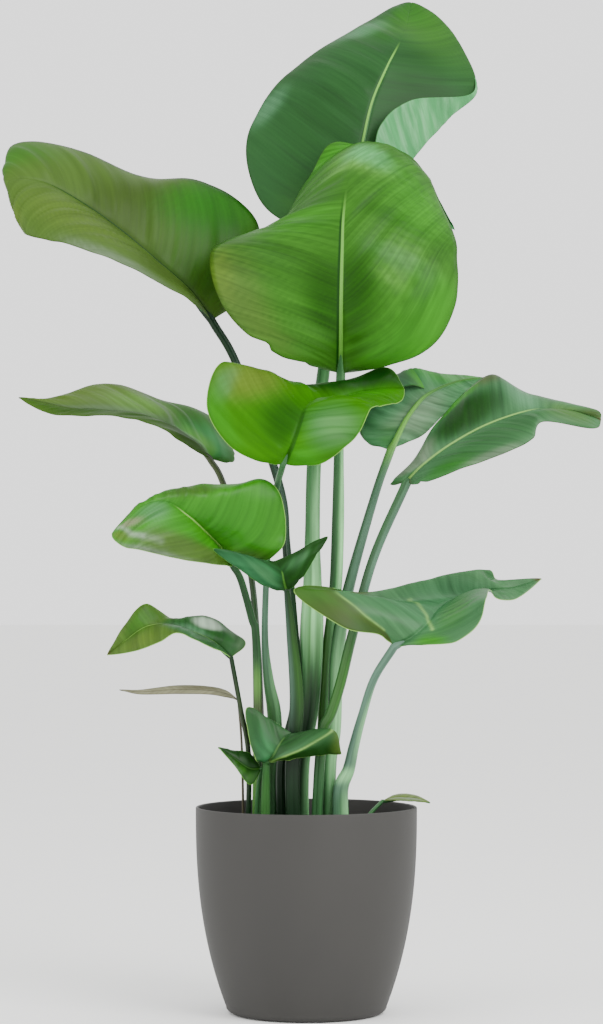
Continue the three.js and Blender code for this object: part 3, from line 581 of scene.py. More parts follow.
class PotSettings(bpy.types.PropertyGroup):
    """Colours and detail of the pot and the soil."""
    plastic: colour_property("Pot grey", "#333230", "Moulded plastic of the pot")
    sides: bpy.props.IntProperty(
        name="Pot sides", description="Number of faces round the pot", default=160, min=24)
    peat: colour_property("Peat brown", "#2b1f17", "Potting soil")
    bark: colour_property("Bark brown", "#5b4030", "Bark chips in the soil")
    perlite: colour_property("Perlite white", "#d9d5ca", "Perlite grains in the soil")
    chips: bpy.props.IntProperty(
        name="Bark chips", description="Number of bark chips on the soil", default=320, min=0)
    grains: bpy.props.IntProperty(
        name="Perlite grains", description="Number of perlite grains", default=90, min=0)


class StageSettings(bpy.types.PropertyGroup):
    """Floor and light."""
    floor: colour_property("Floor", "#f4f4f2", "Plain pale floor")
    sky: bpy.props.FloatProperty(
        name="Sky", description="Strength of the even white light from all round", default=1.8,
        min=0)
    key_power: bpy.props.FloatProperty(
        name="Key light", description="Power of the large light, front right", default=100,
        min=0, unit="POWER")
    fill_power: bpy.props.FloatProperty(
        name="Fill light", description="Power of the light, front left", default=40, min=0,
        unit="POWER")


# ---- small helpers ----
def add_node(tree, kind, settings=None, inputs=None, output=None):
    """Adds a node, sets its properties, and sets or links its inputs. It gives the output that
    is asked for, or else the node."""
    made = tree.nodes.new(f"ShaderNode{kind}")
    for name, value in (settings or {}).items():
        setattr(made, name, value)
    for name, value in (inputs or {}).items():
        if isinstance(value, bpy.types.NodeSocket):
            tree.links.new(value, made.inputs[name])
        else:
            made.inputs[name].default_value = value
    return made if output is None else made.outputs[output]


def new_material(name):
    """An empty material, its node tree, and its Principled BSDF joined to the output."""
    material = bpy.data.materials.new(name)
    material.use_nodes = True
    tree = material.node_tree
    tree.nodes.clear()
    shader = add_node(tree, "BsdfPrincipled")
    add_node(tree, "OutputMaterial", inputs={"Surface": shader.outputs["BSDF"]})
    return material, tree, shader


def rgba(colour):
    """A colour with full alpha, as a colour socket takes it."""
    return (*colour, 1.0)


def shaded(colour, factor):
    """A colour made darker, or lighter as far as white."""
    return [min(1, c * factor) for c in colour]


def pattern(tree, place, repeats, detail, roughness):
    """Cloudy grey from 0 to 1 over a place, which repeats so often on x, y and z."""
    spread = add_node(tree, "VectorMath", {"operation": "MULTIPLY"}, {0: place, 1: repeats}, 0)
    return add_node(tree, "TexNoise", inputs={
        "Vector": spread, "Scale": 1.0, "Detail": detail, "Roughness": roughness}, output="Fac")


def lay_over(tree, base, colour, value, span, *factors):
    """Lays a colour over a base: none of it where value is at the start of span, all of it at
    the end, times the factors."""
    share = add_node(tree, "MapRange", {"interpolation_type": "SMOOTHSTEP"},
                     {"Value": value, "From Min": span[0], "From Max": span[1]}, "Result")
    for factor in factors:
        share = add_node(tree, "Math", {"operation": "MULTIPLY"}, {0: share, 1: factor}, 0)
    return add_node(tree, "Mix", {"data_type": "RGBA"}, {0: share, 6: base, 7: colour}, 2)


def streaked(tree, colour, one, two, weights):
    """A colour made lighter and darker by two patterns times their weights, plus the third
    weight."""
    one, two = (add_node(tree, "Math", {"operation": "MULTIPLY"}, {0: grey, 1: weight}, 0)
                for grey, weight in zip((one, two), weights))
    shade = add_node(tree, "Math", {"operation": "ADD"}, {0: one, 1: two}, 0)
    shade = add_node(tree, "Math", {"operation": "ADD"}, {0: shade, 1: weights[2]}, 0)
    return add_node(tree, "VectorMath", {"operation": "SCALE"}, {0: colour, "Scale": shade}, 0)


def dress(tree, shader, colour, grain, roughness, bump=None, constants=None):
    """Joins a colour and a grain to the shader. The roughness is one value, or two between
    which the grain picks; the grain is also the height of the bump."""
    tree.links.new(colour, shader.inputs["Base Color"])
    if isinstance(roughness, tuple):
        low, high = roughness
        tree.links.new(add_node(tree, "MapRange", inputs={
            "Value": grain, "To Min": low, "To Max": high}, output=0), shader.inputs["Roughness"])
    else:
        shader.inputs["Roughness"].default_value = roughness
    for name, value in (constants or {}).items():
        shader.inputs[name].default_value = value
    if bump:
        strength, height = bump
        tree.links.new(add_node(tree, "Bump", inputs={
            "Strength": strength, "Distance": height * MM, "Height": grain}, output=0),
            shader.inputs["Normal"])


def new_piece(name, vertices, faces, material):
    """A smooth shaded mesh object that rides on the object's one body."""
    mesh = bpy.data.meshes.new(name)
    mesh.from_pydata([tuple(v) for v in vertices], [], [tuple(f) for f in faces])
    mesh.materials.append(material)
    mesh.polygons.foreach_set("use_smooth", [True] * len(mesh.polygons))
    mesh.update()
    piece = bpy.data.objects.new(name, mesh)
    bpy.context.scene.collection.objects.link(piece)
    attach(piece, BODY)
    return piece


def store(piece, name, values):
    """Keeps one number or one vector for each vertex, for the material to read."""
    values = np.asarray(values, float)
    kind, key = ("FLOAT", "value") if values.shape[1] == 1 else ("FLOAT_VECTOR", "vector")
    layer = piece.data.attributes.new(name, kind, "POINT")
    layer.data.foreach_set(key, values.ravel())


def smoothstep(x, low, high):
    """0 up to low, 1 from high on, and a smooth rise between them."""
    t = np.clip((x - low) / (high - low), 0, 1)
    return t * t * (3 - 2 * t)


def bell(x, width):
    """1 where x is 0, falling to nothing beyond the width."""
    return np.exp(-((x / width) ** 2))


def unit(v):
    """Vectors made one long."""
    return v / np.maximum(np.linalg.norm(v, axis=-1, keepdims=True), 1e-12)


def path_lengths(steps):
    """Distance gone at each point of a path, from the lengths of its steps."""
    return np.concatenate([[0], np.cumsum(steps)])


def along(points, share, beyond=None):
    """Points at shares (0 to 1) of a smooth line through the given points. The line's last
    stretch heads for the place beyond, or straight on."""
    points = np.asarray(points, float)
    share = np.atleast_1d(np.asarray(share, float))
    last = len(points) - 1
    t = np.clip(share, 0, 1) * last
    i = np.minimum(t.astype(int), last - 1)
    f = (t - i).reshape((-1,) + (1,) * (points.ndim - 1))
    if beyond is None:
        beyond = 2 * points[-1] - points[-2]
    padded = np.concatenate([[2 * points[0] - points[1]], points, [beyond]])
    a, b, c, d = (padded[i + k] for k in range(4))
    return 0.5 * (2 * b + (c - a) * f + (2 * a - 5 * b + 4 * c - d) * f ** 2
                  + (3 * b - a - 3 * c + d) * f ** 3)


# ---- leaf blades ----
def folded(lines):
    """Points (place, row, xyz) across a folded half, from the rib over each line in turn. The
    knots lie closer where the lines do, so a tight fold has no loop beside it."""
    lines = np.asarray(lines, float)
    gap = np.sqrt(np.linalg.norm(np.diff(lines, axis=0), axis=2, keepdims=True)) + 1e-6
    slope = np.diff(lines, axis=0) / gap
    heading = [slope[0]]
    for i in range(1, len(lines) - 1):
        heading.append(slope[i - 1] + slope[i]
                       - (lines[i + 1] - lines[i - 1]) / (gap[i - 1] + gap[i]))
    heading.append(slope[-1])
    f = np.linspace(0, 1, FOLD_STEPS + 1)[:, None, None]
    made = []
    for i in range(len(lines) - 1):
        start, end = heading[i] * gap[i], heading[i + 1] * gap[i]
        step = lines[i + 1] - lines[i]
        piece = (lines[i] + start * f + (3 * step - 2 * start - end) * f ** 2
                 + (start + end - 2 * step) * f ** 3)
        made.append(piece if i == 0 else piece[1:])
    return np.concatenate(made)


def margin_line(leaf, side, line, u):
    """A line of one half from the blade's base to its tip, which is round by tip_round."""
    base, tip = (np.asarray(leaf["rib"][end], float) for end in (0, -1))
    over = {"left": "right", "right": "left"}[side]
    straight = 2 * tip - np.asarray(line[-1], float)
    share = leaf["tip_round"]
    beyond = straight * (1 - share) + np.asarray(leaf[over][0][-1], float) * share
    return along([base, *line, tip], u, beyond)


def upper_side(leaf, u, reach):
    """Unit vectors out of the blade's upper side, at shares u of its rib."""
    across = (margin_line(leaf, "right", leaf["right"][0], u)
              - margin_line(leaf, "left", leaf["left"][0], u))
    ahead = along(leaf["rib"], np.minimum(1, u + reach)) - along(
        leaf["rib"], np.maximum(0, u - RIB_REACH))
    return unit(np.cross(across, ahead))


def blade_middle(leaf, u, v):
    """The blade's middle surface (row, column, xyz) in millimetres; v runs from -1 to 1."""
    rib = along(leaf["rib"], u)
    normal = upper_side(leaf, u, RIB_REACH)
    halves = []
    for side, swell in zip(("left", "right"), leaf["swell"]):
        outer = [margin_line(leaf, side, line, u) for line in leaf[side]]
        if len(outer) == 1:
            w = np.linspace(0, 1, ARCH_STEPS + 1)[:, None, None]
            height = swell * np.sin(np.pi * u) ** ARCH_POWER
            half = rib * (1 - w) + outer[0] * w + normal * (4 * w * (1 - w)) * height[:, None]
        else:
            half = folded([rib, *outer])
        out = np.abs(v[v < 0])[::-1] if side == "left" else v[v > 0]
        halves.append(even_steps(half, nicked(leaf, u, -1 if side == "left" else 1, out)))
    left, right = halves
    sheet = np.concatenate([left[::-1], rib[None], right])
    return np.transpose(sheet, (1, 0, 2))


def nicked(leaf, u, side, out):
    """Shares of the way to the margin (column, row), drawn in where the margin is torn."""
    reach = np.ones_like(u)
    for at_side, *numbers in leaf["nicks"]:
        if at_side == side:
            at, wide, deep = (n / 100 for n in numbers)
            reach = np.minimum(reach, 1 - deep * np.clip(1 - np.abs(u - at) / wide, 0, 1))
    return out[:, None] * reach[None]


def even_steps(half, shares):
    """Points at the given shares (column, row) of the length of each row's line."""
    gone = np.cumsum(np.linalg.norm(np.diff(half, axis=0), axis=2), axis=0)
    gone = np.concatenate([np.zeros((1, half.shape[1])), gone])
    made = np.empty((*shares.shape, 3))
    for row in range(half.shape[1]):
        total = max(gone[-1, row], 1e-9)
        for k in range(3):
            made[:, row, k] = np.interp(shares[:, row], gone[:, row] / total, half[:, row, k])
    return made


def sheet_normals(sheet):
    """Unit normals towards the upper side."""
    up = np.gradient(sheet, axis=0)
    side = np.gradient(sheet, axis=1)
    return unit(np.cross(side, up))


def waves(x, lengths, heights, chance):
    """A sum of sines along x with the given wave lengths and heights."""
    total = np.zeros_like(x)
    for length, height in zip(lengths, heights):
        total += height * np.sin(2 * np.pi * x / length + chance.uniform(0, 2 * np.pi))
    return total


def by_side(v, make):
    """Values made once for each half of a blade."""
    return np.where(v[None] < 0, make(), make())


def rib_radius(leaf, u):
    """Radius of the midrib's bar at shares u of the blade, in millimetres."""
    start = leaf["neck"] * RIB_START - RIB_TIP_RADIUS
    return RIB_TIP_RADIUS + start * (1 - u) ** RIB_TAPER_POWER


def leaf_places(leaf, sheet, u, v):
    """Distance from the rib, distance along the rib where the vein starts, and to the edge."""
    middle = len(v) // 2
    steps = np.linalg.norm(np.diff(sheet, axis=1), axis=2)
    gone = np.concatenate([np.zeros((len(u), 1)), np.cumsum(steps, axis=1)], axis=1)
    off = gone - gone[:, middle:middle + 1]
    edge = np.minimum(gone, gone[:, -1:] - gone)
    start = path_lengths(np.linalg.norm(np.diff(sheet[:, middle], axis=0), axis=1))
    lean_left, lean_right = (np.interp(u, np.linspace(0, 1, len(lean)), lean)
                             for lean in leaf["sweep"])
    lean = np.where(v[None] < 0, lean_left[:, None], lean_right[:, None])
    vein = VEIN_FAN * np.logaddexp(0, (start[:, None] - lean * np.abs(off)) / VEIN_FAN)
    return off, vein, edge


def relief(leaf, settings, u, v, off, vein, chance):
    """Height of the pleats, which follow the side veins, and of the waves at the margin."""
    size = min(1.0, np.abs(off).max() / FULL_HALF_WIDTH)
    pleat = by_side(v, lambda: waves(vein, PLEAT_LENGTHS, PLEAT_HEIGHTS, chance))
    start, full = PLEAT_RISE
    rise = smoothstep(np.abs(off), start, full * size) * (
        1 - PLEAT_FADE * smoothstep(np.abs(v), PLEAT_FADE_FROM, 1))
    rise = rise * np.where(v < 0, *leaf["pleats"])
    ripple = waves(np.repeat((u * WAVES_ALONG)[:, None], len(v), axis=1), WAVE_LENGTHS,
                   WAVE_HEIGHTS, chance)
    wave = settings.margin_wave / MM * leaf["wave"]
    ends = smoothstep(u, *WAVE_START) * (1 - smoothstep(u, *WAVE_END))
    return (pleat * rise * (settings.pleat_height / MM) * size
            + ripple * np.abs(v)[None] ** WAVE_POWER * wave * size * ends[:, None])


def sheet_faces(rows, wide):
    """Faces of an upper grid of points and the same grid below it, closed round the edge."""
    n = rows * wide
    index = np.arange(n).reshape(rows, wide)
    a, b = index[:-1, :-1].ravel(), index[:-1, 1:].ravel()
    c, d = index[1:, 1:].ravel(), index[1:, :-1].ravel()
    faces = [*zip(a, b, c, d), *zip(a + n, d + n, c + n, b + n)]
    loop = [*index[0, :-1], *index[:-1, -1], *index[-1, :0:-1], *index[:0:-1, 0]]
    for i, here in enumerate(loop):
        after = loop[(i + 1) % len(loop)]
        faces.append((after, here, here + n, after + n))
    return faces


def blade_piece(name, leaf, settings, material):
    """Blade of one leaf: a thin sheet with a channel over the rib, pleats and a wavy margin."""
    chance = random.Random(f"{SEED}{name}")
    u = np.linspace(*BLADE_ENDS, ROWS + 1)
    half = (np.arange(1, leaf["columns"] + 1) / leaf["columns"]) ** COLUMN_CROWD
    v = np.concatenate([-half[::-1], [0], half])
    sheet = blade_middle(leaf, u, v)
    off, vein, edge = leaf_places(leaf, sheet, u, v)
    normal = sheet_normals(sheet)
    height = relief(leaf, settings, u, v, off, vein, chance)
    radius = rib_radius(leaf, u)[:, None]
    channel = CHANNEL_DEPTH * radius * bell(off, CHANNEL_WIDTH * radius)
    surface = sheet + normal * (height - channel)[..., None]

    thin = settings.blade_thickness / MM / 2 * (
        EDGE_THICKNESS + (1 - EDGE_THICKNESS) * smoothstep(edge, 0, EDGE_WIDTH))
    fillet = FILLET_HEIGHT * radius * bell(off, FILLET_WIDTH * radius)
    fillet *= smoothstep(u, *FILLET_START)[:, None]
    top = surface + normal * thin[..., None]
    under = surface - normal * (thin + fillet)[..., None]
    vertices = np.concatenate([top.reshape(-1, 3), under.reshape(-1, 3)]) * MM
    piece = new_piece(f"{name}_blade", vertices, sheet_faces(*off.shape), material)

    count = off.size
    place = np.stack([vein * MM, off * MM, np.repeat(u[:, None], len(v), axis=1)], axis=2)
    colours = leaf_colours(leaf, settings, sheet, u, v, vein, chance)
    strength, fades = leaf["rib_look"][1:3]
    share = strength * (1 - smoothstep(u, fades - RIB_FADE, fades))
    for key, values in (("leaf_place", place), ("leaf_colour", colours), ("leaf_edge", edge * MM),
                        ("leaf_rib", off / radius),
                        ("leaf_rib_share", np.repeat(share[:, None], len(v), axis=1))):
        store(piece, key, np.concatenate([values.reshape(count, -1)] * 2))
    store(piece, "leaf_face", np.repeat([[1.0], [0.0]], count, axis=0))
    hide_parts(name)


def tinted(colours, colour, share):
    """The colours, mixed with one more colour by a share for each point."""
    return colours * (1 - share[..., None]) + np.asarray(colour)[None, None] * share[..., None]


def vein_distance(places, sheet, u, v):
    """Distance of each point of the sheet from a line through places (u, v) on it."""
    line = along(np.array(places) / 100, np.linspace(0, 1, VEIN_STEPS))
    row = np.clip(np.interp(line[:, 0], u, np.arange(len(u))), 0, len(u) - 1.001)
    column = np.clip(np.interp(line[:, 1], v, np.arange(len(v))), 0, len(v) - 1.001)
    i, j = row.astype(int), column.astype(int)
    row, column = (row - i)[:, None], (column - j)[:, None]
    points = ((sheet[i, j] * (1 - column) + sheet[i, j + 1] * column) * (1 - row)
              + (sheet[i + 1, j] * (1 - column) + sheet[i + 1, j + 1] * column) * row)
    return np.linalg.norm(sheet[:, :, None] - points[None, None], axis=3).min(axis=2)


def leaf_colours(leaf, settings, sheet, u, v, vein, chance):
    """Colour of each point: the main green, the patches, many of them painted shade and painted
    sheen, and streaks along the veins.
    """
    colours = np.zeros((*vein.shape, 3)) + np.asarray(getattr(settings, leaf["green"]))
    stir = by_side(v, lambda: waves(vein, STREAK_LENGTHS, STREAK_HEIGHTS, chance))
    for colour, *numbers in leaf["patches"]:
        at_u, at_v, reach_u, reach_v, strength = (n / 100 for n in numbers[:5])
        edge = numbers[5] if len(numbers) > 5 else PATCH_EDGE
        near = ((u[:, None] - at_u) / reach_u) ** 2 + ((v[None] - at_v) / reach_v) ** 2
        share = np.exp(-(near ** edge)) * strength
        share = np.clip(share * (1 + STREAK_IN_PATCH * stir * (1 - share)), 0, 1)
        colours = tinted(colours, getattr(settings, colour), share)
    for colour, half_width, places, strength in leaf["veins"]:
        colours = tinted(colours, getattr(settings, colour),
                         strength / 100 * bell(vein_distance(places, sheet, u, v), half_width))
    return colours * (1 + STREAK_IN_COLOUR * leaf["streaks"] * stir)[..., None]


# ---- stalks ----
def stalk_facing(ahead, upper, steps):
    """Unit vectors to the channel's side: the blade's upper side on the midrib, and from
    there carried down the stalk without a twist."""
    facing = np.zeros_like(ahead)
    facing[steps + 1:] = upper
    turn = upper[2]
    for i in range(steps + 3, -1, -1):
        turn = turn - ahead[i] * (turn @ ahead[i])
        turn = turn / np.linalg.norm(turn)
        facing[i] = turn
    return unit(facing - ahead * np.sum(facing * ahead, axis=1, keepdims=True))


def stalk_piece(name, leaf, settings, material):
    """Stalk and midrib of one leaf: a bar with a channel along its upper side."""
    x, y, _, radius = leaf["stalk"][0]
    points = [[x, y, STALK_FOOT, radius], *leaf["stalk"], [*leaf["rib"][0], leaf["neck"]]]
    steps = STALK_STEPS * (len(points) - 1)
    lower = along(points, np.linspace(0, 1, steps + 1))
    u = np.linspace(0, RIB_BAR_END, RIB_BAR_STEPS + 1)[1:]
    upper = upper_side(leaf, u, RIB_BAR_REACH)
    blend = smoothstep(u, *RIB_BAR_BLEND)
    radius = leaf["neck"] * (1 - blend) + rib_radius(leaf, u) * blend
    sunk = along(leaf["rib"], u) - upper * (radius * RIB_BAR_SINK * blend)[:, None]
    centres = np.concatenate([lower[:, :3], sunk])
    radii = np.concatenate([lower[:, 3], radius])

    ahead = unit(np.gradient(centres, axis=0))
    facing = stalk_facing(ahead, upper, steps)
    sideways = np.cross(ahead, facing)
    gone = path_lengths(np.linalg.norm(np.diff(centres, axis=0), axis=1))
    low, more = STALK_CHANNEL
    depth = low + more * smoothstep(1 - gone / gone[steps], *STALK_CHANNEL_RISE)
    low, more = RIB_BAR_CHANNEL
    depth[steps + 1:] = low + more * blend
    angle = np.linspace(-np.pi, np.pi, STALK_SIDES, endpoint=False)
    groove = bell(angle, CHANNEL_ANGLE)
    lips = LIP_HEIGHT * bell(np.abs(angle) - LIP_ANGLE, LIP_WIDTH)
    reach = radii[:, None] * (1 - depth[:, None] * groove[None] + lips[None])
    ring = (centres[:, None] + reach[..., None] * (
        np.cos(angle)[None, :, None] * facing[:, None]
        + np.sin(angle)[None, :, None] * sideways[:, None]))

    count = len(centres)
    index = np.arange(count * STALK_SIDES).reshape(count, STALK_SIDES)
    beside = np.roll(index, -1, axis=1)
    faces = [*zip(index[:-1].ravel(), beside[:-1].ravel(), beside[1:].ravel(),
                  index[1:].ravel()), tuple(index[0][::-1]), tuple(index[-1])]
    piece = new_piece(f"{name}_stalk", ring.reshape(-1, 3) * MM, faces, material)
    place = np.stack([
        np.repeat(gone[:, None] * MM, STALK_SIDES, axis=1),
        np.tile(angle, (count, 1)),
        np.repeat(radii[:, None] * MM, STALK_SIDES, axis=1)], axis=2)
    store(piece, "stalk_place", place.reshape(-1, 3))
    colours = stalk_colours(leaf, settings, ring, ring - centres[:, None])
    store(piece, "stalk_colour", colours.reshape(-1, 3))
    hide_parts(name)


def stalk_colours(leaf, settings, ring, out):
    """Colour of each point: the main green and the patches, many of them painted light and shade
    by the side a stalk faces; out points away from the axis.
    """
    facing = np.degrees(np.arctan2(out[..., 1], out[..., 0]))
    colours = np.zeros_like(ring) + np.asarray(getattr(settings, leaf["stalk_green"]))
    for colour, high, reach, towards, wide, strength in leaf["stalk_patches"]:
        turned_by = (facing - towards + 180) % 360 - 180
        near = ((ring[..., 2] - high) / reach) ** 2 + (turned_by / wide) ** 2
        colours = tinted(colours, getattr(settings, colour),
                         strength / 100 * np.exp(-(near ** STALK_PATCH_EDGE)))
    return colours


# ---- leaf and stalk materials ----
def leaf_material(name, leaf, settings):
    """Living leaf cuticle: waxy satin skin, so broad soft highlights that break at each vein.
    A real vein is 0.7 to 1 mm from the next; they are drawn a few times as coarse to show."""
    material, tree, shader = new_material(f"{name}_cuticle")
    place, painted = (add_node(tree, "Attribute", {"attribute_name": key}, output="Vector")
                      for key in ("leaf_place", "leaf_colour"))
    face, off, rib_share, edge = (
        add_node(tree, "Attribute", {"attribute_name": key}, output="Fac")
        for key in ("leaf_face", "leaf_rib", "leaf_rib_share", "leaf_edge"))
    per_metre = 1 / settings.vein_spacing
    streak = pattern(tree, place, (per_metre, *STREAK_REPEATS), *FINE)
    band = pattern(tree, place, (per_metre / BAND_VEINS, *BAND_REPEATS), *SOFT)
    wax = pattern(tree, place, BLOOM_REPEATS, *MEDIUM)
    fine, broad, start = (weight * leaf["streaks"] for weight in UPPER_SHADE)
    upper = streaked(tree, painted, streak, band, (fine, broad, 1 + start))

    # Painted shade: a dark line beside the rib's channel, on the side and with the strength that
    # rib_look gives.
    rib_colour, _, _, side, shadow = leaf["rib_look"]
    beside = add_node(tree, "Math", {"operation": "SUBTRACT"}, {0: off, 1: 1.0 * side}, 0)
    beside, across = (add_node(tree, "Math", {"operation": "ABSOLUTE"}, {0: value}, 0)
                      for value in (beside, off))
    upper = lay_over(tree, upper, rgba(settings.forest_green), beside, RIB_SHADE_LINE, rib_share,
                     shadow)
    upper = lay_over(tree, upper, rgba(getattr(settings, rib_colour)), across, RIB_LINE,
                     rib_share)

    under = add_node(tree, "Mix", {"data_type": "RGBA"},
                     {0: leaf["under"], 6: upper, 7: rgba(settings.mint_green)}, 2)
    under = lay_over(tree, under, rgba(settings.pale_green), wax, BLOOM_RANGE, leaf["bloom"])
    under = streaked(tree, under, streak, band, UNDER_SHADE)
    colour = add_node(tree, "Mix", {"data_type": "RGBA"}, {0: face, 6: under, 7: upper}, 2)
    colour = lay_over(tree, colour, rgba(getattr(settings, leaf["margin"])), edge, MARGIN_LINE,
                      MARGIN_SHARE)
    dress(tree, shader, colour, streak, **LEAF_SKIN,
          constants={"IOR": WAX_IOR, "Specular IOR Level": leaf["gloss"]})
    return material


def stalk_material(name):
    """Living stalk: waxy skin over long fibres, so fine streaks along it and a soft gloss."""
    material, tree, shader = new_material(f"{name}_stalk_skin")
    place, painted = (add_node(tree, "Attribute", {"attribute_name": key}, output="Vector")
                      for key in ("stalk_place", "stalk_colour"))
    fibre = pattern(tree, place, FIBRE_REPEATS, *FINE)
    sheath = pattern(tree, place, SHEATH_REPEATS, *SOFT)
    colour = streaked(tree, painted, fibre, sheath, STALK_SHADE)
    dress(tree, shader, colour, fibre, **STALK_SKIN,
          constants={"IOR": WAX_IOR, "Specular IOR Level": STALK_GLOSS})
    return material


# ---- pot ----
def circle(radius, sides):
    """Points (x, y) round a circle."""
    turns = [2 * math.pi * k / sides for k in range(sides)]
    return [(radius * math.cos(turn), radius * math.sin(turn)) for turn in turns]


def ring_faces(rings, sides, downwards=False):
    """Faces of a closed surface: a point, rings of points, and a point at the other end.
    The rings run upwards on the outside, or else downwards."""
    last = 1 + rings * sides
    faces = []
    for k in range(sides):
        after = (k + 1) % sides
        faces.append((0, 1 + after, 1 + k))
        for one in range(1, last - sides, sides):
            two = one + sides
            faces.append((one + k, one + after, two + after, two + k))
        faces.append((last - sides + k, last - sides + after, last))
    return [(face[0], *face[:0:-1]) for face in faces] if downwards else faces


def turned(profile, sides):
    """Vertices and faces of a closed surface of revolution; profile is (radius, height)
    pairs from the axis back to the axis."""
    vertices = [(0, 0, profile[0][1])]
    for radius, height in profile[1:-1]:
        vertices += [(x, y, height) for x, y in circle(radius, sides)]
    vertices.append((0, 0, profile[-1][1]))
    return vertices, ring_faces(len(profile) - 2, sides)


def pot_radius(z):
    """Outer radius of the pot at a height, both in millimetres."""
    return POT_RIM_RADIUS - POT_TAPER * (1 - z / POT_HEIGHT) ** POT_TAPER_POWER


def arc(centre, radius, start, end, steps):
    """Points (r, z) of an arc from start to end, in degrees."""
    turns = [math.radians(start + (end - start) * k / steps) for k in range(steps + 1)]
    return [(centre[0] + radius * math.cos(t), centre[1] + radius * math.sin(t))
            for t in turns]


def pot_piece(settings):
    """Pot shell: thin wall, round foot edge and soft round rim."""
    foot = pot_radius(0) - POT_FOOT_ROUND
    heights = [POT_FOOT_ROUND + POT_STEP_SPAN * (k / POT_STEPS) ** POT_STEP_CROWD
               for k in range(POT_STEPS)]
    heights = [z for z in heights if z < POT_LAST_STEP]
    profile = [(0, 0), (foot * 0.5, 0), (foot, 0)]
    corner = pot_radius(POT_FOOT_ROUND)
    for k in range(1, FOOT_STEPS):
        t = math.radians(90 * k / FOOT_STEPS)
        profile.append((foot + (corner - foot) * math.sin(t),
                        POT_FOOT_ROUND * (1 - math.cos(t))))
    profile += [(pot_radius(z), z) for z in heights]
    lip = POT_WALL / 2
    profile += arc((POT_RIM_RADIUS - lip, POT_HEIGHT - lip), lip, 0, 180, RIM_STEPS)
    profile += [(pot_radius(z) - POT_WALL, z) for z in reversed(heights)]
    profile += [(foot, POT_FLOOR + FLOOR_ROUND), (foot - POT_WALL, POT_FLOOR), (0, POT_FLOOR)]
    vertices, faces = turned([(r * MM, z * MM) for r, z in profile], settings.sides)
    piece = new_piece("pot_shell", vertices, faces, pot_material(settings))
    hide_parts("pot")


def pot_material(settings):
    """Moulded polypropylene with a fine spark-eroded grain: an even grey with no sharp
    highlight. The grain is 0.2 mm in life and is drawn at 1 mm to show."""
    material, tree, shader = new_material("moulded_polypropylene")
    place = add_node(tree, "TexCoord", output="Object")
    grain = pattern(tree, place, [1 / (GRAIN_SIZE * MM)] * 3, *MEDIUM)
    cloud = pattern(tree, place, CLOUD_REPEATS, *SOFT)
    darker, lighter = (rgba(shaded(settings.plastic, factor)) for factor in POT_SHADES)
    colour = lay_over(tree, darker, rgba(settings.plastic), cloud, CLOUD_RANGE)
    colour = lay_over(tree, colour, lighter, grain, GRAIN_RANGE)
    dress(tree, shader, colour, grain, **POT_SKIN,
          constants={"IOR": POLYPROPYLENE_IOR, "Specular IOR Level": POT_GLOSS})
    return material


# ---- soil ----
def soil_height(x, y):
    """Height of the soil's surface in millimetres at x, y."""
    radius = math.hypot(x, y)
    mound = SOIL_MOUND * max(0.0, 1 - radius / MOUND_RADIUS) ** MOUND_POWER
    fall = SOIL_FALL * smoothstep(np.array(radius), *SOIL_FALL_FROM)
    rough = sum(height * noise.noise(Vector((x, y, level)) / size)
                for height, size, level in SOIL_LUMPS)
    return SOIL_TOP + mound - float(fall) + rough


def soil_material(name, colour, darkest, size):
    """Peat, composted bark or perlite, as it comes from the bag: rough crumbs with no gloss.
    Fibres and pores are well under 1 mm in life and are drawn at their size to show."""
    material, tree, shader = new_material(name)
    place = add_node(tree, "TexCoord", output="Object")
    crumb = pattern(tree, place, [1 / (size * MM)] * 3, *ROUGH)
    mixed = lay_over(tree, rgba(shaded(colour, darkest)), rgba(colour), crumb, CRUMB_RANGE)
    dress(tree, shader, mixed, crumb, **SOIL_SKIN)
    return material


def soil_bed(settings):
    """The soil: a closed body with a rough, slightly mounded top."""
    edge = POT_WALL + SOIL_GAP
    rim = pot_radius(SOIL_TOP - SOIL_RIM_BELOW) - edge - SOIL_RIM_GAP
    vertices = [(0, 0, soil_height(0, 0) * MM)]
    for i in range(1, SOIL_RINGS + 1):
        vertices += [(x * MM, y * MM, soil_height(x, y) * MM)
                     for x, y in circle(rim * i / SOIL_RINGS, SOIL_SIDES)]
    bottom = POT_FLOOR + SOIL_GAP
    low = [(pot_radius(z) - edge - SOIL_WALL_GAP, z) for z in SOIL_WALL_HEIGHTS]
    low.append((pot_radius(0) - POT_FOOT_ROUND - edge, bottom))
    for radius, z in low:
        vertices += [(x * MM, y * MM, z * MM) for x, y in circle(radius, SOIL_SIDES)]
    vertices.append((0, 0, bottom * MM))
    faces = ring_faces(SOIL_RINGS + len(low), SOIL_SIDES, downwards=True)
    peat = soil_material("peat_soil", settings.peat, PEAT_SHADE, PEAT_FIBRE)
    piece = new_piece("soil_bed", vertices, faces, peat)
    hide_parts("soil")


CHIP_CORNERS = [(1, 0, 0), (-1, 0, 0), (0, 1, 0), (0, -1, 0), (0, 0, 1), (0, 0, -1)]
CHIP_FACES = [(0, 2, 4), (2, 1, 4), (1, 3, 4), (3, 0, 4), (2, 0, 5), (1, 2, 5), (3, 1, 5),
              (0, 3, 5)]


def rotated(one, two, turn):
    """Two coordinates after a turn from the first towards the second."""
    return (one * math.cos(turn) - two * math.sin(turn),
            one * math.sin(turn) + two * math.cos(turn))


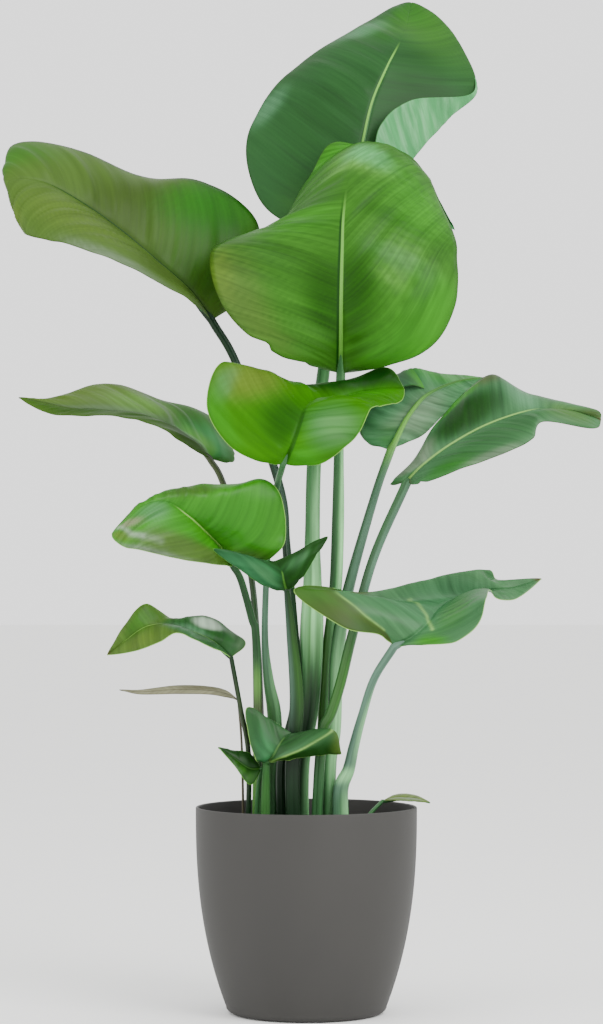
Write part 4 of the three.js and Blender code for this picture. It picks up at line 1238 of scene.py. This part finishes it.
def crumbs(name, count, sizes, material, seed):
    """Loose bits on the soil, each a dented octahedron cut into smaller faces."""
    chance = random.Random(seed)
    vertices, faces = [], []
    stalks = [leaf["stalk"][0] for leaf in LEAVES.values()]
    corners, cuts = split_faces(CHIP_CORNERS, CHIP_FACES)
    placed = 0
    while placed < count:
        radius = CRUMB_SPREAD * math.sqrt(chance.random())
        turn = chance.uniform(0, 2 * math.pi)
        x, y = radius * math.cos(turn), radius * math.sin(turn)
        size = [chance.uniform(*sizes) * k
                for k in (1, chance.uniform(*CRUMB_WIDTH), CRUMB_HEIGHT)]
        if any(math.hypot(x - s[0], y - s[1]) < s[3] + size[0] for s in stalks):
            continue
        placed += 1
        spin = chance.uniform(0, 2 * math.pi)
        tilt = chance.uniform(*CRUMB_TILT)
        start = len(vertices)
        for corner in corners:
            dent = chance.uniform(*CRUMB_DENT)
            px, py, pz = (c * s * dent for c, s in zip(corner, size))
            px, pz = rotated(px, pz, tilt)
            px, py = rotated(px, py, spin)
            height = soil_height(x, y) + size[2] * CRUMB_LIFT + pz
            vertices.append(((x + px) * MM, (y + py) * MM, height * MM))
        faces += [tuple(start + i for i in face) for face in cuts]
    piece = new_piece(name, vertices, faces, material)
    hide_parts("soil")


def split_faces(corners, faces):
    """Each triangle cut into four, with the new corners pushed out to the unit ball."""
    points = list(corners)
    middles = {}

    def middle(i, j):
        key = (min(i, j), max(i, j))
        if key not in middles:
            middles[key] = len(points)
            half = Vector(corners[i]) + Vector(corners[j])
            points.append(tuple(half.normalized()))
        return middles[key]

    cuts = []
    for a, b, c in faces:
        ab, bc, ca = middle(a, b), middle(b, c), middle(c, a)
        cuts += [(a, ab, ca), (ab, b, bc), (ca, bc, c), (ab, bc, ca)]
    return points, cuts


# ---- operators ----
class PLANT_OT_leaves(bpy.types.Operator):
    """Build every leaf: blade, midrib and stalk"""
    bl_idname = "plant.leaves"
    bl_label = "Leaves"

    def execute(self, context):
        settings = context.scene.plant_leaf
        for name, leaf in LEAVES.items():
            blade_piece(name, leaf, settings, leaf_material(name, leaf, settings))
            stalk_piece(name, leaf, settings, stalk_material(name))
        return {"FINISHED"}


class PLANT_OT_pot(bpy.types.Operator):
    """Build the pot shell"""
    bl_idname = "plant.pot"
    bl_label = "Pot"

    def execute(self, context):
        pot_piece(context.scene.plant_pot)
        return {"FINISHED"}


class PLANT_OT_soil(bpy.types.Operator):
    """Build the soil with its bark chips and perlite grains"""
    bl_idname = "plant.soil"
    bl_label = "Soil"

    def execute(self, context):
        settings = context.scene.plant_pot
        soil_bed(settings)
        bark = soil_material("composted_bark", settings.bark, BARK_SHADE, BARK_FIBRE)
        perlite = soil_material("perlite", settings.perlite, PERLITE_SHADE, PERLITE_PORE)
        crumbs("soil_bark", settings.chips, BARK_SIZES, bark, SEED + 1)
        crumbs("soil_perlite", settings.grains, PERLITE_SIZES, perlite, SEED + 2)
        return {"FINISHED"}


class PLANT_OT_stage(bpy.types.Operator):
    """Set up the floor, the soft light and the camera"""
    bl_idname = "plant.stage"
    bl_label = "Stage"

    def execute(self, context):
        settings = context.scene.plant_stage
        floor(settings)
        soft_light("key", settings.key_power, KEY_PLACE, KEY_SIZE)
        soft_light("fill", settings.fill_power, FILL_PLACE, FILL_SIZE)
        world = bpy.data.worlds.new("studio")
        world.use_nodes = True
        background = world.node_tree.nodes["Background"]
        background.inputs["Color"].default_value = (1, 1, 1, 1)
        background.inputs["Strength"].default_value = settings.sky
        context.scene.world = world
        camera(context)
        return {"FINISHED"}


def floor(settings):
    """A wide plain floor under the object."""
    mesh = bpy.data.meshes.new("floor")
    far = FLOOR_HALF
    mesh.from_pydata([(-far, -far, 0), (far, -far, 0), (far, far, 0), (-far, far, 0)],
                     [], [(0, 1, 2, 3)])
    material, tree, shader = new_material("painted_floor")
    paint = pattern(tree, add_node(tree, "TexCoord", output="Object"), PAINT_REPEATS, *SOFT)
    colour = add_node(tree, "Mix", {"data_type": "RGBA"}, {
        0: paint, 6: rgba(shaded(settings.floor, FLOOR_SHADE)), 7: rgba(settings.floor)}, 2)
    dress(tree, shader, colour, paint, **FLOOR_SKIN)
    mesh.materials.append(material)
    piece = bpy.data.objects.new("floor", mesh)
    bpy.context.scene.collection.objects.link(piece)


def aim(thing, place, target):
    """Puts a light or camera at a place, turned to a target, and into the scene."""
    thing.location = place
    towards = Vector(target) - Vector(place)
    thing.rotation_euler = towards.to_track_quat("-Z", "Y").to_euler()
    bpy.context.scene.collection.objects.link(thing)


def soft_light(name, power, place, size):
    """A square area light that faces the middle of the plant."""
    light = bpy.data.lights.new(name, "AREA")
    light.energy = power
    light.size = size
    aim(bpy.data.objects.new(name, light), place, LIGHT_TARGET)


def camera(context):
    """The camera of the photograph's view."""
    data = bpy.data.cameras.new("camera")
    data.sensor_fit = "VERTICAL"
    data.sensor_height = SENSOR_HEIGHT
    data.lens = CAMERA_LENS
    seen = bpy.data.objects.new("camera", data)
    aim(seen, CAMERA_PLACE, CAMERA_TARGET)
    context.scene.camera = seen


class PLANT_PT_panel(bpy.types.Panel):
    """Buttons and settings in the sidebar"""
    bl_idname = "PLANT_PT_panel"
    bl_label = "Potted bird of paradise"
    bl_space_type = "VIEW_3D"
    bl_region_type = "UI"
    bl_category = "Plant"

    def draw(self, context):
        for operator in OPERATORS:
            self.layout.operator(operator.bl_idname)
        for settings in (context.scene.plant_leaf, context.scene.plant_pot,
                         context.scene.plant_stage):
            box = self.layout.box()
            for name in settings.bl_rna.properties.keys():
                if name not in ("rna_type", "name"):
                    box.prop(settings, name)


OPERATORS = (PLANT_OT_leaves, PLANT_OT_pot, PLANT_OT_soil, PLANT_OT_stage)
CLASSES = (LeafSettings, PotSettings, StageSettings, *OPERATORS, PLANT_PT_panel)


def register():
    for one in CLASSES:
        bpy.utils.register_class(one)
    bpy.types.Scene.plant_leaf = bpy.props.PointerProperty(type=LeafSettings)
    bpy.types.Scene.plant_pot = bpy.props.PointerProperty(type=PotSettings)
    bpy.types.Scene.plant_stage = bpy.props.PointerProperty(type=StageSettings)


def unregister():
    del bpy.types.Scene.plant_leaf
    del bpy.types.Scene.plant_pot
    del bpy.types.Scene.plant_stage
    for one in reversed(CLASSES):
        bpy.utils.unregister_class(one)


def main():
    register()
    bpy.ops.plant.leaves()
    bpy.ops.plant.pot()
    bpy.ops.plant.soil()
    bpy.ops.plant.stage()


if __name__ == "__main__":
    main()
